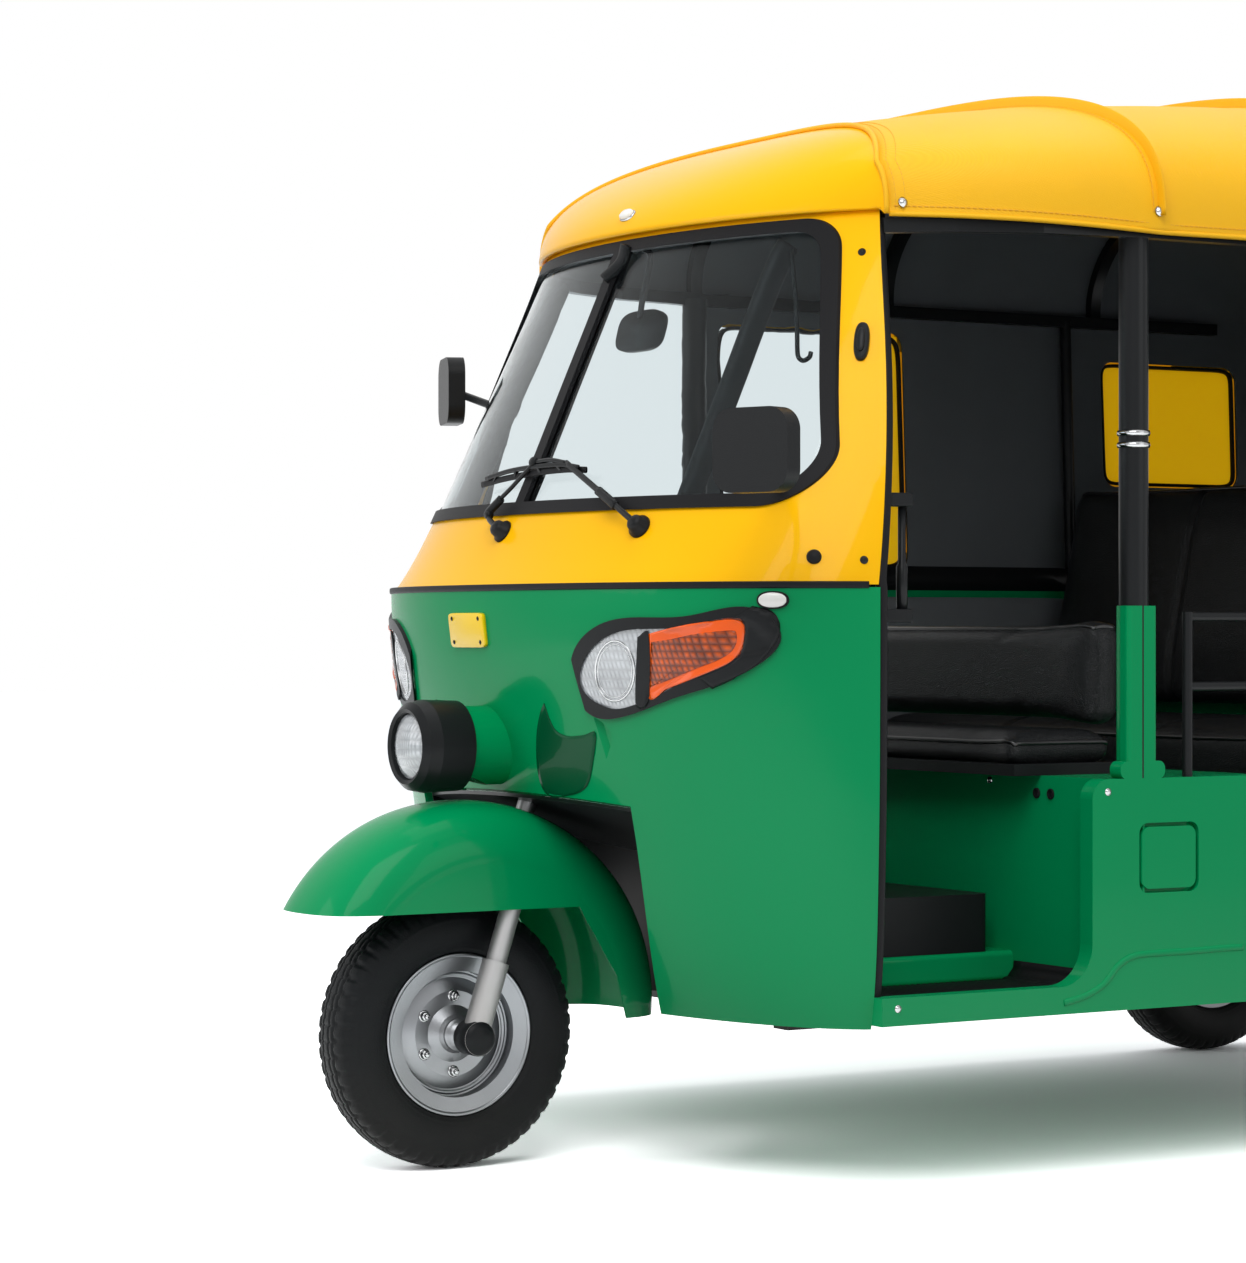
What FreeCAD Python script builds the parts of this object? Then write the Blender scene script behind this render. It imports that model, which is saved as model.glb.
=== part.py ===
"""Three-wheeled auto rickshaw: steel cab and tub, vinyl hood, one steered front wheel and two rear wheels.

Millimetres. +Z is up and the vehicle faces -Y, so its left side is +X. Inside the script Y is counted
from the front axle; on export everything moves forward so that the origin is the ground point under
the middle of the vehicle.
"""
import FreeCAD
import Part
import math
import os

V = FreeCAD.Vector
X_AXIS = V(1, 0, 0)
Y_AXIS = V(0, 1, 0)
Z_AXIS = V(0, 0, 1)
FAR = 3000.0

# Overall layout
WHEELBASE = 2000.0
HALF_WIDTH = 650.0
WHEEL_INSET = 75.0
REAR_TRACK = 2 * (HALF_WIDTH - WHEEL_INSET)
FENDER_TIP_Y = -255.0
REAR_OVERHANG = 300.0
TAIL_Y = WHEELBASE + REAR_OVERHANG
BUMPER_DEPTH = 45.0
MID_Y = (FENDER_TIP_Y + TAIL_Y + BUMPER_DEPTH) / 2

# Wheels, size 4.00-8
TYRE_R = 207.5
TYRE_W = 107.0
RIM_FLANGE_R = 123.0
RIM_SEAT_R = 101.0
RIM_HALF_W = 36.0
RIM_WALL = 4.0
HUB_R = 30.0
AXLE_R = 8.0
RUN_GAP = 0.05
SEAT_GAP = 0.3

# Steering head: the axis leans back and passes behind the front axle
RAKE = math.radians(18.0)
AXLE_LEAD = 30.0
STEER_DIR = V(0, math.sin(RAKE), math.cos(RAKE))
STEER_POINT = V(0, AXLE_LEAD, TYRE_R)
FORK_X = 92.0
FORK_LEG_R = 16.0
CROWN_AT = 278.0
STEM_R = 15.0
STEM_CLEARANCE = 3.0
BAR_AT = 735.0
HEAD_TUBE_R = 24.0
HEAD_TUBE_TO = 680.0
HEAD_FLANGE_R = 35.0

# Front fender
FENDER_R = 316.0
FENDER_C_Y = 22.0
FENDER_C_Z = 250.0
FENDER_HALF_W = 116.0
FENDER_WALL = 4.0
FENDER_SKIRT_Z = 402.0
FENDER_REAR_Z = 225.0

# Wheel arch tunnel, round the steering axis
ARCH_R = 330.0
ARCH_TOP = 374.0
ARCH_WALL = 5.0

# Cab shell
CAB_BACK_Y = 365.0
CAB_BOTTOM_Z = 250.0
BELT_Z = 895.0
BELT_GAP = 4.0
CAB_TOP_Z = 1466.0
CAB_WALL = 14.0
CAB_FORM_BACK = 420.0
# height, half width, front Y, back Y where the outline meets the side, roundness of the outline
CAB_SECTIONS = [
    (205.0, HALF_WIDTH - 22, 225.0, CAB_FORM_BACK, 2.15),
    (300.0, HALF_WIDTH - 8, 168.0, CAB_FORM_BACK, 2.15),
    (450.0, HALF_WIDTH - 2, 122.0, CAB_FORM_BACK, 2.15),
    (600.0, HALF_WIDTH, 90.0, CAB_FORM_BACK, 2.15),
    (750.0, HALF_WIDTH, 60.0, CAB_FORM_BACK, 2.15),
    (850.0, HALF_WIDTH, 46.0, CAB_FORM_BACK, 2.15),
    (BELT_Z, HALF_WIDTH, 44.0, CAB_FORM_BACK, 2.15),
]
CAB_UPPER_SECTIONS = [
    (BELT_Z, HALF_WIDTH - 4, 52.0, CAB_FORM_BACK, 2.15),
    (1000.0, HALF_WIDTH - 10, 120.0, CAB_FORM_BACK + 40, 2.1),
    (1120.0, HALF_WIDTH - 20, 176.0, CAB_FORM_BACK + 90, 2.07),
    (1250.0, HALF_WIDTH - 33, 234.0, CAB_FORM_BACK + 145, 2.03),
    (1350.0, HALF_WIDTH - 43, 279.0, CAB_FORM_BACK + 187, 2.0),
    (1490.0, HALF_WIDTH - 54, 340.0, CAB_FORM_BACK + 232, 2.0),
]
CAB_LEAN = math.radians(10.4)


def ring(points):
    """A closed straight-edged face through the points."""
    return Part.Face(Part.makePolygon(list(points) + [points[0]]))


def box(x0, x1, y0, y1, z0, z1):
    """A box between two corners."""
    return Part.makeBox(x1 - x0, y1 - y0, z1 - z0, V(x0, y0, z0))


def rounded(x0, x1, y0, y1, z0, z1, radius, axis):
    """A box whose four edges along one axis are rounded."""
    solid = box(x0, x1, y0, y1, z0, z1)
    return solid.makeFillet(radius, edges_along(solid, axis))


def edges_along(solid, axis):
    """The straight edges of a solid that run along one axis."""
    found = []
    for edge in solid.Edges:
        along = edge.lastVertex().Point - edge.firstVertex().Point
        if along.Length > 1e-6 and abs(along.dot(axis)) > 0.999 * along.Length:
            found.append(edge)
    return found


def tube(start, end, radius, bore=0.0):
    """A round bar, or a tube where a bore is given, from one point to another."""
    along = end - start
    solid = Part.makeCylinder(radius, along.Length, start, along)
    if bore:
        solid = solid.cut(Part.makeCylinder(bore, along.Length, start, along))
    return solid


def mirrored(shape):
    """The same shape on the other side of the vehicle."""
    return shape.mirror(V(0, 0, 0), X_AXIS)


def both(shape):
    """The shape and its mirror image as one compound."""
    return Part.makeCompound([shape, mirrored(shape)])


def outline_wire(z, half, front, back, grow, power):
    """The cab's plan outline at one height: a superellipse round the front, closed straight across the back.

    x = half * cos(t)^(2/power), y = back - (back - front) * sin(t)^(2/power), and grow moves it outwards.
    """
    steps = 12
    points = []
    for i in range(steps + 1):
        t = math.pi * i / steps
        c, s = math.cos(t), math.sin(t)
        x = (half + grow) * math.copysign(abs(c) ** (2 / power), c)
        y = back - (back - front + grow) * abs(s) ** (2 / power)
        points.append(V(x, y, z))
    curve = Part.BSplineCurve()
    curve.interpolate(points)
    return Part.Wire([curve.toShape(), Part.makeLine(points[-1], points[0])])


def cab_form(sections, grow):
    """A solid with the cab's outer form, moved outwards by grow."""
    wires = [outline_wire(z, half, front, back, grow, power) for z, half, front, back, power in sections]
    return Part.makeLoft(wires, True, False)


def behind_cab():
    """Everything behind the plane of the cab's rear edge."""
    return box(-FAR, FAR, CAB_BACK_Y, FAR, -FAR, FAR)


def edge_y(z):
    """Where the leaning rear edge of the upper cab stands at one height."""
    return CAB_BACK_Y + (z - BELT_Z) * math.tan(CAB_LEAN)


def behind_upper():
    """Everything behind the leaning plane of the upper cab's rear edge."""
    face = ring([V(-FAR, edge_y(0), 0), V(-FAR, FAR, 0), V(-FAR, FAR, FAR), V(-FAR, edge_y(FAR), FAR)])
    return face.extrude(V(2 * FAR, 0, 0))


# Windscreen opening, seen from the front
SCREEN_BOTTOM_Z = 1010.0
SCREEN_TOP_Z = 1450.0
SCREEN_BOTTOM_HALF = HALF_WIDTH - 52
SCREEN_TOP_HALF = HALF_WIDTH - 200
SCREEN_CORNER_R = 70.0
RUBBER_W = 20.0
RUBBER_PROUD = 5.0
GLASS_T = 6.0
GLASS_INSET = 3.0
BAR_W = 26.0


def screen_prism(inset):
    """The windscreen opening carried through the cab's front, its edge moved inwards by inset."""
    low, high = SCREEN_BOTTOM_Z + inset, SCREEN_TOP_Z - inset
    b, t = SCREEN_BOTTOM_HALF - inset, SCREEN_TOP_HALF - inset
    face = ring([V(-b, 0, low), V(b, 0, low), V(t, 0, high), V(-t, 0, high)])
    solid = face.extrude(V(0, CAB_FORM_BACK + 200, 0))
    solid.translate(V(0, -100, 0))
    edges = [e for e in solid.Edges if abs(e.Vertexes[1].Y - e.Vertexes[0].Y) > 100]
    return solid.makeFillet(SCREEN_CORNER_R - inset * 0.6, edges)


# Corner lamps, seen along the cab's corner
LAMP_AZ = math.radians(48.0)
LAMP_Z = 782.0
LAMP_CENTRE = V(HALF_WIDTH - 195, 110.0, LAMP_Z)
LAMP_FRONT_X = -160.0
LAMP_REAR_X = 178.0
LAMP_BEZEL = 16.0
LAMP_SPLIT_X = 10.0
LAMP_PROUD = 6.0


def lamp_plane(shape):
    """Moves a shape drawn in the XZ plane at the origin to the left corner lamp's place."""
    shape = shape.copy()
    shape.rotate(V(0, 0, 0), Z_AXIS, math.degrees(LAMP_AZ))
    shape.translate(LAMP_CENTRE)
    return shape


def lamp_prism(inset, x_from=-FAR, x_to=FAR):
    """The eye-shaped outline of a corner lamp, carried inwards, its edge moved inwards by inset."""
    a, b = LAMP_FRONT_X + inset, LAMP_REAR_X - inset
    top, low = 68.0 - inset, -88.0 + inset
    points = [
        V(a + 30, 0, low + 10), V(a, 0, low + 55), V(a + 8, 0, top - 50), V(a + 55, 0, top - 12),
        V((a + b) / 2 + 30, 0, top), V(b - 22, 0, top + 2), V(b, 0, top - 28), V(b - 40, 0, low + 81),
        V((a + b) / 2, 0, low + 34), V(a + 75, 0, low + 4),
    ]
    curve = Part.BSplineCurve()
    curve.interpolate(points, PeriodicFlag=True)
    face = Part.Face(Part.Wire([curve.toShape()]))
    solid = face.extrude(V(0, 240, 0))
    solid.translate(V(0, -120, 0))
    if x_from > -FAR or x_to < FAR:
        solid = solid.common(box(x_from, x_to, -FAR, FAR, -FAR, FAR))
    return lamp_plane(solid)


# Scoop pressed in below the front of each corner lamp, drawn like the lamp's outline
SCOOP_DEPTH = 7.0


def scoop():
    """What the scoop takes off the apron's outer face."""
    curve = Part.BSplineCurve()
    curve.interpolate([V(-100, 0, -98), V(-150, 0, -86), V(-180, 0, -120), V(-184, 0, -160), V(-170, 0, -192),
                       V(-140, 0, -196), V(-112, 0, -180), V(-102, 0, -140)], PeriodicFlag=True)
    solid = Part.Face(Part.Wire([curve.toShape()])).extrude(V(0, 240, 0))
    solid.translate(V(0, -120, 0))
    return lamp_plane(solid).cut(cab_form(CAB_SECTIONS, -SCOOP_DEPTH))


# Central headlamp
HEADLAMP_Z = 650.0
HEADLAMP_FRONT_Y = -72.0
HEADLAMP_R = 70.0
HEADLAMP_LENGTH = 88.0
NECK_R = 62.0
NECK_SEAT = 20.0
LENS_R = 52.0


def arch_form(radius, top):
    """The swept space of the steered wheel: a cylinder round the steering axis, closed at the top."""
    start = STEER_POINT - STEER_DIR * 700
    return Part.makeCylinder(radius, 700 + top, start, STEER_DIR)


def cab_lower():
    """The green front apron with its headlamp neck, lamp openings and wheel arch."""
    outer = cab_form(CAB_SECTIONS, 0)
    neck_y = HEADLAMP_FRONT_Y + HEADLAMP_LENGTH - NECK_SEAT + SEAT_GAP
    neck = tube(V(0, neck_y, HEADLAMP_Z), V(0, 200, HEADLAMP_Z), NECK_R - SEAT_GAP)
    solid = outer.fuse(neck)
    solid = solid.cut(cab_form(CAB_SECTIONS, -CAB_WALL))
    solid = solid.cut(tube(V(0, -200, HEADLAMP_Z), V(0, 300, HEADLAMP_Z), NECK_R - 8))
    solid = solid.cut(behind_cab())
    solid = solid.cut(box(-FAR, FAR, -FAR, FAR, -FAR, CAB_BOTTOM_Z))
    solid = solid.cut(arch_form(ARCH_R, ARCH_TOP))
    solid = solid.cut(box(-FAR, FAR, -FAR, FAR, BELT_Z - BELT_GAP, FAR))
    for cutter in (lamp_prism(0), scoop()):
        solid = solid.cut(cutter).cut(mirrored(cutter))
    return solid


def cab_upper():
    """The yellow upper cab: windscreen frame and pillars."""
    solid = cab_form(CAB_UPPER_SECTIONS, 0).cut(cab_form(CAB_UPPER_SECTIONS, -CAB_WALL))
    solid = solid.cut(behind_upper()).cut(screen_prism(0))
    solid = solid.cut(box(-FAR, FAR, -FAR, FAR, CAB_TOP_Z, FAR))
    return solid


def screen_rubber():
    """The black rubber round the windscreen, with the bar down its middle."""
    frame = screen_prism(0).cut(screen_prism(RUBBER_W))
    bar = box(-BAR_W / 2, BAR_W / 2, -FAR, 400, SCREEN_BOTTOM_Z + 5, SCREEN_TOP_Z - 5)
    solid = frame.fuse(bar).common(cab_form(CAB_UPPER_SECTIONS, RUBBER_PROUD))
    return solid.cut(cab_form(CAB_UPPER_SECTIONS, -CAB_WALL - 4)).cut(behind_upper())


def windscreen():
    """The curved windscreen, in two halves either side of the bar."""
    panes = screen_prism(RUBBER_W).cut(box(-BAR_W / 2, BAR_W / 2, -FAR, FAR, 0, FAR))
    panes = panes.common(cab_form(CAB_UPPER_SECTIONS, -GLASS_INSET))
    return panes.cut(cab_form(CAB_UPPER_SECTIONS, -GLASS_INSET - GLASS_T)).cut(behind_upper())


def corner_lamps():
    """Bezels, clear lenses and amber lenses of both corner lamps."""
    outer, inner = cab_form(CAB_SECTIONS, LAMP_PROUD), cab_form(CAB_SECTIONS, -CAB_WALL - 10)
    lens_outer, lens_inner = cab_form(CAB_SECTIONS, LAMP_PROUD - 3), cab_form(CAB_SECTIONS, -CAB_WALL)
    bezel = lamp_prism(0).cut(lamp_prism(LAMP_BEZEL)).common(outer).cut(inner)
    clear = lamp_prism(LAMP_BEZEL, -FAR, LAMP_SPLIT_X).common(lens_outer).cut(lens_inner)
    amber = lamp_prism(LAMP_BEZEL, LAMP_SPLIT_X, FAR).common(lens_outer).cut(lens_inner)
    return both(bezel), both(clear), both(amber)


def headlamp():
    """The central headlamp: a deep rounded bezel and a domed lens."""
    y0, y1 = HEADLAMP_FRONT_Y, HEADLAMP_FRONT_Y + HEADLAMP_LENGTH
    profile = ring([
        V(0, y1 - NECK_SEAT, 0), V(NECK_R, y1 - NECK_SEAT, 0), V(NECK_R, y1, 0), V(HEADLAMP_R, y1, 0),
        V(HEADLAMP_R + 2, y0 + 30, 0), V(HEADLAMP_R - 2, y0 + 10, 0), V(HEADLAMP_R - 12, y0, 0),
        V(LENS_R, y0 + 3, 0), V(LENS_R - 2, y0 + 12, 0), V(LENS_R - 8, y0 + 40, 0), V(0, y0 + 60, 0),
    ])
    bezel = profile.revolve(V(0, 0, 0), Y_AXIS, 360)
    rim = LENS_R - 2 - SEAT_GAP
    dome = Part.Face(Part.Wire([
        Part.Arc(V(0, y0 - 4, 0), V(LENS_R * 0.6, y0, 0), V(rim, y0 + 9, 0)).toShape(),
        Part.makeLine(V(rim, y0 + 9, 0), V(rim, y0 + 12, 0)),
        Part.makeLine(V(rim, y0 + 12, 0), V(0, y0 + 8, 0)),
        Part.makeLine(V(0, y0 + 8, 0), V(0, y0 - 4, 0)),
    ]))
    lens = dome.revolve(V(0, 0, 0), Y_AXIS, 360)
    for shape in (bezel, lens):
        shape.translate(V(0, 0, HEADLAMP_Z))
    return bezel, lens


def wheel_arch():
    """The inner wheel arch: a domed cover round the back of the wheel's swept space."""
    solid = arch_form(ARCH_R, ARCH_TOP).cut(arch_form(ARCH_R - ARCH_WALL, ARCH_TOP - ARCH_WALL))
    solid = solid.cut(box(-FAR, FAR, -FAR, FAR, -FAR, CAB_BOTTOM_Z))
    inside = cab_form(CAB_SECTIONS, -CAB_WALL - SEAT_GAP)
    inside = inside.fuse(box(-ARCH_R, ARCH_R, CAB_FORM_BACK - 1, CAB_FORM_BACK + ARCH_R, 0, BELT_Z))
    return solid.common(inside).cut(tube(on_axis(0), on_axis(BAR_AT), STEM_R + STEM_CLEARANCE))


def wheel_profile():
    """Half sections of tyre and rim, on the XZ plane about the X axis."""
    w = TYRE_W / 2
    s = RIM_SEAT_R
    tyre = Part.Wire([
        Part.makeLine(V(-RIM_HALF_W + 1, 0, s + SEAT_GAP), V(RIM_HALF_W - 1, 0, s + SEAT_GAP)),
        Part.makeLine(V(RIM_HALF_W - 1, 0, s + SEAT_GAP), V(RIM_HALF_W + 3, 0, RIM_FLANGE_R + 1)),
        Part.Arc(V(RIM_HALF_W + 3, 0, RIM_FLANGE_R + 1), V(w, 0, 160), V(w - 9, 0, 193)).toShape(),
        Part.Arc(V(w - 9, 0, 193), V(w - 14, 0, 199.5), V(w - 22, 0, 203)).toShape(),
        Part.Arc(V(w - 22, 0, 203), V(0, 0, TYRE_R), V(-w + 22, 0, 203)).toShape(),
        Part.Arc(V(-w + 22, 0, 203), V(-w + 14, 0, 199.5), V(-w + 9, 0, 193)).toShape(),
        Part.Arc(V(-w + 9, 0, 193), V(-w, 0, 160), V(-RIM_HALF_W - 3, 0, RIM_FLANGE_R + 1)).toShape(),
        Part.makeLine(V(-RIM_HALF_W - 3, 0, RIM_FLANGE_R + 1), V(-RIM_HALF_W + 1, 0, s + SEAT_GAP)),
    ])
    return Part.Face(tyre)


def revolved(points, axis):
    """A full revolve of a straight-edged face about an axis through the origin."""
    return ring(points).revolve(V(0, 0, 0), axis, 360)


def wheel(centre_x, centre_y, outward):
    """A tyre and its pressed rim with hub; outward is +1 where the dished face looks towards +X."""
    tyre = wheel_profile().revolve(V(0, 0, 0), X_AXIS, 360)
    flange = RIM_HALF_W + 7.5
    seat = RIM_HALF_W - 0.6
    inner = RIM_SEAT_R - RIM_WALL
    bore = AXLE_R + RUN_GAP
    rim = revolved([
        V(-flange, 0, RIM_FLANGE_R - 1), V(-flange + 4, 0, RIM_FLANGE_R), V(-seat, 0, RIM_SEAT_R),
        V(seat, 0, RIM_SEAT_R), V(flange - 4, 0, RIM_FLANGE_R), V(flange, 0, RIM_FLANGE_R - 1),
        V(flange - 4, 0, inner), V(18, 0, inner), V(15, 0, 86), V(23, 0, 66), V(23, 0, HUB_R + 14),
        V(32, 0, HUB_R), V(42, 0, HUB_R - 8), V(42, 0, bore), V(-32, 0, bore), V(-32, 0, HUB_R - 4),
        V(17, 0, HUB_R + 2), V(18, 0, 62), V(10, 0, 85), V(12, 0, inner), V(-flange + 4, 0, inner),
    ], X_AXIS)
    if outward < 0:
        tyre, rim = mirrored(tyre), mirrored(rim)
    for shape in (tyre, rim):
        shape.translate(V(centre_x, centre_y, TYRE_R))
    return tyre, rim


# Front axle and fork
KNUCKLE_R = 26.0
KNUCKLE_IN = 74.0
KNUCKLE_OUT = 110.0
COLLAR_R = 14.0
COLLAR_IN = 44.0
CROWN_T = 18.0


def on_axis(distance):
    """A point on the steering axis, measured along it from the axle's height."""
    return STEER_POINT + STEER_DIR * distance


def front_axle():
    """The front axle with its two collars and knuckles."""
    at = V(0, 0, TYRE_R)
    solid = tube(at + X_AXIS * -KNUCKLE_OUT, at + X_AXIS * KNUCKLE_OUT, AXLE_R)
    for side in (-1, 1):
        solid = solid.fuse(tube(at + X_AXIS * side * COLLAR_IN, at + X_AXIS * side * KNUCKLE_IN, COLLAR_R))
        solid = solid.fuse(tube(at + X_AXIS * side * KNUCKLE_IN, at + X_AXIS * side * KNUCKLE_OUT, KNUCKLE_R))
    return solid


def fork():
    """The telescopic fork: two legs through the axle's height, a crown and the stem."""
    foot = V(FORK_X, 0, TYRE_R)
    leg = tube(foot, foot + STEER_DIR * CROWN_AT, FORK_LEG_R)
    leg = leg.fuse(tube(foot, foot + STEER_DIR * 120, FORK_LEG_R + 5))
    leg = leg.cut(tube(V(0, 0, TYRE_R), V(200, 0, TYRE_R), KNUCKLE_R))
    crown = rounded(-FORK_X - FORK_LEG_R, FORK_X + FORK_LEG_R, -50, 24, 0, CROWN_T, 20, Z_AXIS)
    crown.rotate(V(0, 0, 0), X_AXIS, -math.degrees(RAKE))
    crown.translate(on_axis(CROWN_AT - CROWN_T))
    stem = tube(on_axis(CROWN_AT - CROWN_T), on_axis(BAR_AT), STEM_R)
    return leg.fuse(mirrored(leg)).fuse(crown).fuse(stem)


def fender_band(grow):
    """The fender's rounded section turned about its own centre, moved outwards by grow."""
    w, r = FENDER_HALF_W + grow, FENDER_R + grow
    curve = Part.BSplineCurve()
    curve.interpolate([
        V(-w, 0, r - 92), V(-w + 5, 0, r - 52), V(-w + 26, 0, r - 20), V(-w + 66, 0, r - 4),
        V(0, 0, r), V(w - 66, 0, r - 4), V(w - 26, 0, r - 20), V(w - 5, 0, r - 52), V(w, 0, r - 92),
    ])
    low = 90 + grow
    wire = Part.Wire([
        curve.toShape(), Part.makeLine(V(w, 0, r - 92), V(w, 0, low)),
        Part.makeLine(V(w, 0, low), V(-w, 0, low)),
        Part.makeLine(V(-w, 0, low), V(-w, 0, r - 92)),
    ])
    solid = Part.Face(wire).revolve(V(0, 0, 0), X_AXIS, 360)
    solid.translate(V(0, FENDER_C_Y, FENDER_C_Z))
    return solid


def front_fender():
    """The front fender: a deep shell with side skirts, carried down behind the wheel."""
    shell = fender_band(0).cut(fender_band(-FENDER_WALL))
    y, z = FENDER_C_Y, FENDER_C_Z
    side = ring([
        V(-200, y - 420, FENDER_SKIRT_Z), V(-200, y - 420, z + 420), V(-200, y + 420, z + 420),
        V(-200, y + 420, FENDER_REAR_Z), V(-200, y + 235, FENDER_REAR_Z), V(-200, y + 218, z + 40),
        V(-200, y + 150, FENDER_SKIRT_Z),
    ])
    solid = shell.common(side.extrude(V(400, 0, 0)))
    hole = tube(on_axis(CROWN_AT - CROWN_T), on_axis(BAR_AT), STEM_R + RUN_GAP)
    return solid.cut(hole)


# Handlebar
BAR_R = 11.0
GRIP_R = 16.0
BAR_HALF = 255.0
BAR_BACK = 130.0
BAR_RISE = 20.0
GRIP_LENGTH = 115.0


def handlebar():
    """The handlebar: a clamp on the stem's end and two arms swept back to the grips."""
    top = on_axis(BAR_AT)
    clamp = tube(top, top + STEER_DIR * 2 * BAR_R, STEM_R + 7)
    middle = top + STEER_DIR * BAR_R
    elbow = middle + V(90, 0, 0)
    end = middle + V(BAR_HALF, BAR_BACK, BAR_RISE)
    half = tube(middle, elbow, BAR_R).fuse(Part.makeSphere(BAR_R, elbow)).fuse(tube(elbow, end, BAR_R))
    along = (elbow - end).normalize()
    half = half.fuse(tube(end, end + along * GRIP_LENGTH, GRIP_R))
    return clamp.fuse(half).fuse(mirrored(half))


def head_tube():
    """The steering head: a flanged tube on the arch's top, braced forward to the apron."""
    flange = Part.makeCylinder(HEAD_FLANGE_R, 8, on_axis(ARCH_TOP), STEER_DIR)
    solid = flange.fuse(tube(on_axis(ARCH_TOP), on_axis(HEAD_TUBE_TO), HEAD_TUBE_R))
    brace = ring([V(-5, 250, 820), V(-5, 60, 850), V(-5, 60, 700), V(-5, 190, 640)]).extrude(V(10, 0, 0))
    brace = brace.common(cab_form(CAB_SECTIONS, -CAB_WALL))
    solid = solid.fuse(brace)
    return solid.cut(tube(on_axis(ARCH_TOP - 20), on_axis(HEAD_TUBE_TO + 20), STEM_R + RUN_GAP))


# Floor, sills and boxes
FLOOR_Z = 280.0
FLOOR_T = 5.0
MAT_Z = FLOOR_Z + FLOOR_T
PLATFORM_HALF = 420.0
PLATFORM_Z = 330.0
SILL_Z = 256.0
SILL_TOP_Z = 297.0
SIDE_T = 30.0
SIDE_IN = HALF_WIDTH - SIDE_T
SIDE_RAIL_Z = 905.0
BOX_FRONT_Y = 776.0
BOX_REAR_Y = 1100.0
BOX_TOP_Z = 605.0
SHEET = 5.0
LOCKER_HALF = PLATFORM_HALF - 5
LOCKER_Y0, LOCKER_Y1 = 480.0, 734.0
LOCKER_TOP_Z = 420.0
PASSENGER_BOX_Y = 1220.0
PASSENGER_BOX_TOP = 560.0
DECK_Y = WHEELBASE - 280
DECK_Z = 610.0
DECK_T = 18.0
PANEL_T = 15.0
PANEL_LOW_Z = 400.0
B_PILLAR_Y = 847.0
B_PILLAR_R = 22.5
SLEEVE_TOP_Z = 866.0
SLEEVE_WALL = 3.5
SLEEVE_HALF = 29.0
DOOR_REAR_Y = 750.0
QUARTER_Y = WHEELBASE - 350
SIDE_END_Y = TAIL_Y - PANEL_T
REAR_ARCH_R = 262.0


def side_profile(points, radii):
    """A side member drawn as (Y, Z) corners, with a radius for each corner, as a slab on the left."""
    face = ring([V(SIDE_IN, y, z) for y, z in points])
    solid = face.extrude(V(SIDE_T, 0, 0))
    for (y, z), radius in zip(points, radii):
        if radius:
            edges = [e for e in edges_along(solid, X_AXIS)
                     if abs(e.firstVertex().Y - y) < 0.5 and abs(e.firstVertex().Z - z) < 0.5]
            solid = solid.makeFillet(radius, edges)
    return solid


def rear_arch():
    """The opening round a rear wheel in the body side."""
    return tube(V(-FAR, WHEELBASE, TYRE_R), V(FAR, WHEELBASE, TYRE_R), REAR_ARCH_R)


def side_left():
    """The left side pressing: sill, seat box side with the filler recess, doorway and rear quarter."""
    solid = side_profile(
        [(CAB_BACK_Y, SILL_Z), (SIDE_END_Y, SILL_Z), (SIDE_END_Y, SIDE_RAIL_Z), (QUARTER_Y, SIDE_RAIL_Z),
         (QUARTER_Y, SILL_TOP_Z), (BOX_REAR_Y, SILL_TOP_Z), (BOX_REAR_Y, BOX_TOP_Z), (DOOR_REAR_Y, BOX_TOP_Z),
         (DOOR_REAR_Y, SILL_TOP_Z), (CAB_BACK_Y, SILL_TOP_Z)],
        [0, 20, 25, 45, 60, 60, 45, 30, 60, 0])
    solid = solid.cut(rear_arch()).cut(behind_wheels())
    filler = rounded(SIDE_IN - 1, HALF_WIDTH - FLAP_POCKET, FLAP_Y0 + FLAP_SEAT, FLAP_Y1 - FLAP_SEAT,
                     FLAP_Z0 + FLAP_SEAT, FLAP_Z1 - FLAP_SEAT, 10, X_AXIS)
    solid = solid.cut(flap_hole(FLAP_GAP)).cut(filler)
    for pin in flap_pins(PIN_R, 3):
        solid = solid.fuse(pin)
    return solid.fuse(pillar_sleeve())


def pillar_sleeve():
    """The painted sleeve that holds the foot of the left pillar, on the seat box side."""
    x, y = HALF_WIDTH - B_PILLAR_R, B_PILLAR_Y
    sleeve = tube(V(x, y, BOX_TOP_Z), V(x, y, SLEEVE_TOP_Z), B_PILLAR_R + SLEEVE_WALL)
    web = rounded(SIDE_IN + 4, HALF_WIDTH, y - SLEEVE_HALF, y + SLEEVE_HALF, BOX_TOP_Z, SLEEVE_TOP_Z, 8, Z_AXIS)
    foot = rounded(SIDE_IN + 4, HALF_WIDTH, y - SLEEVE_HALF - 14, y + SLEEVE_HALF + 14, BOX_TOP_Z - 1,
                   BOX_TOP_Z + 26, 12, X_AXIS)
    solid = sleeve.fuse(web).fuse(foot).common(box(0, HALF_WIDTH, -FAR, FAR, 0, FAR))
    return solid.cut(tube(V(x, y, BOX_TOP_Z), V(x, y, FAR), B_PILLAR_R + RUN_GAP))


def side_right():
    """The right side pressing: sill, driver's doorway and a side closed from the seat box to the tail."""
    solid = side_profile(
        [(CAB_BACK_Y, SILL_Z), (SIDE_END_Y, SILL_Z), (SIDE_END_Y, SIDE_RAIL_Z), (DOOR_REAR_Y, SIDE_RAIL_Z),
         (DOOR_REAR_Y, SILL_TOP_Z), (CAB_BACK_Y, SILL_TOP_Z)],
        [0, 20, 25, 45, 60, 0])
    return mirrored(solid.cut(rear_arch()).cut(behind_wheels()))


def behind_wheels():
    """The corner of the body side cut away behind the rear wheels."""
    return box(-FAR, FAR, WHEELBASE, FAR, 0, PANEL_LOW_Z)


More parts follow.
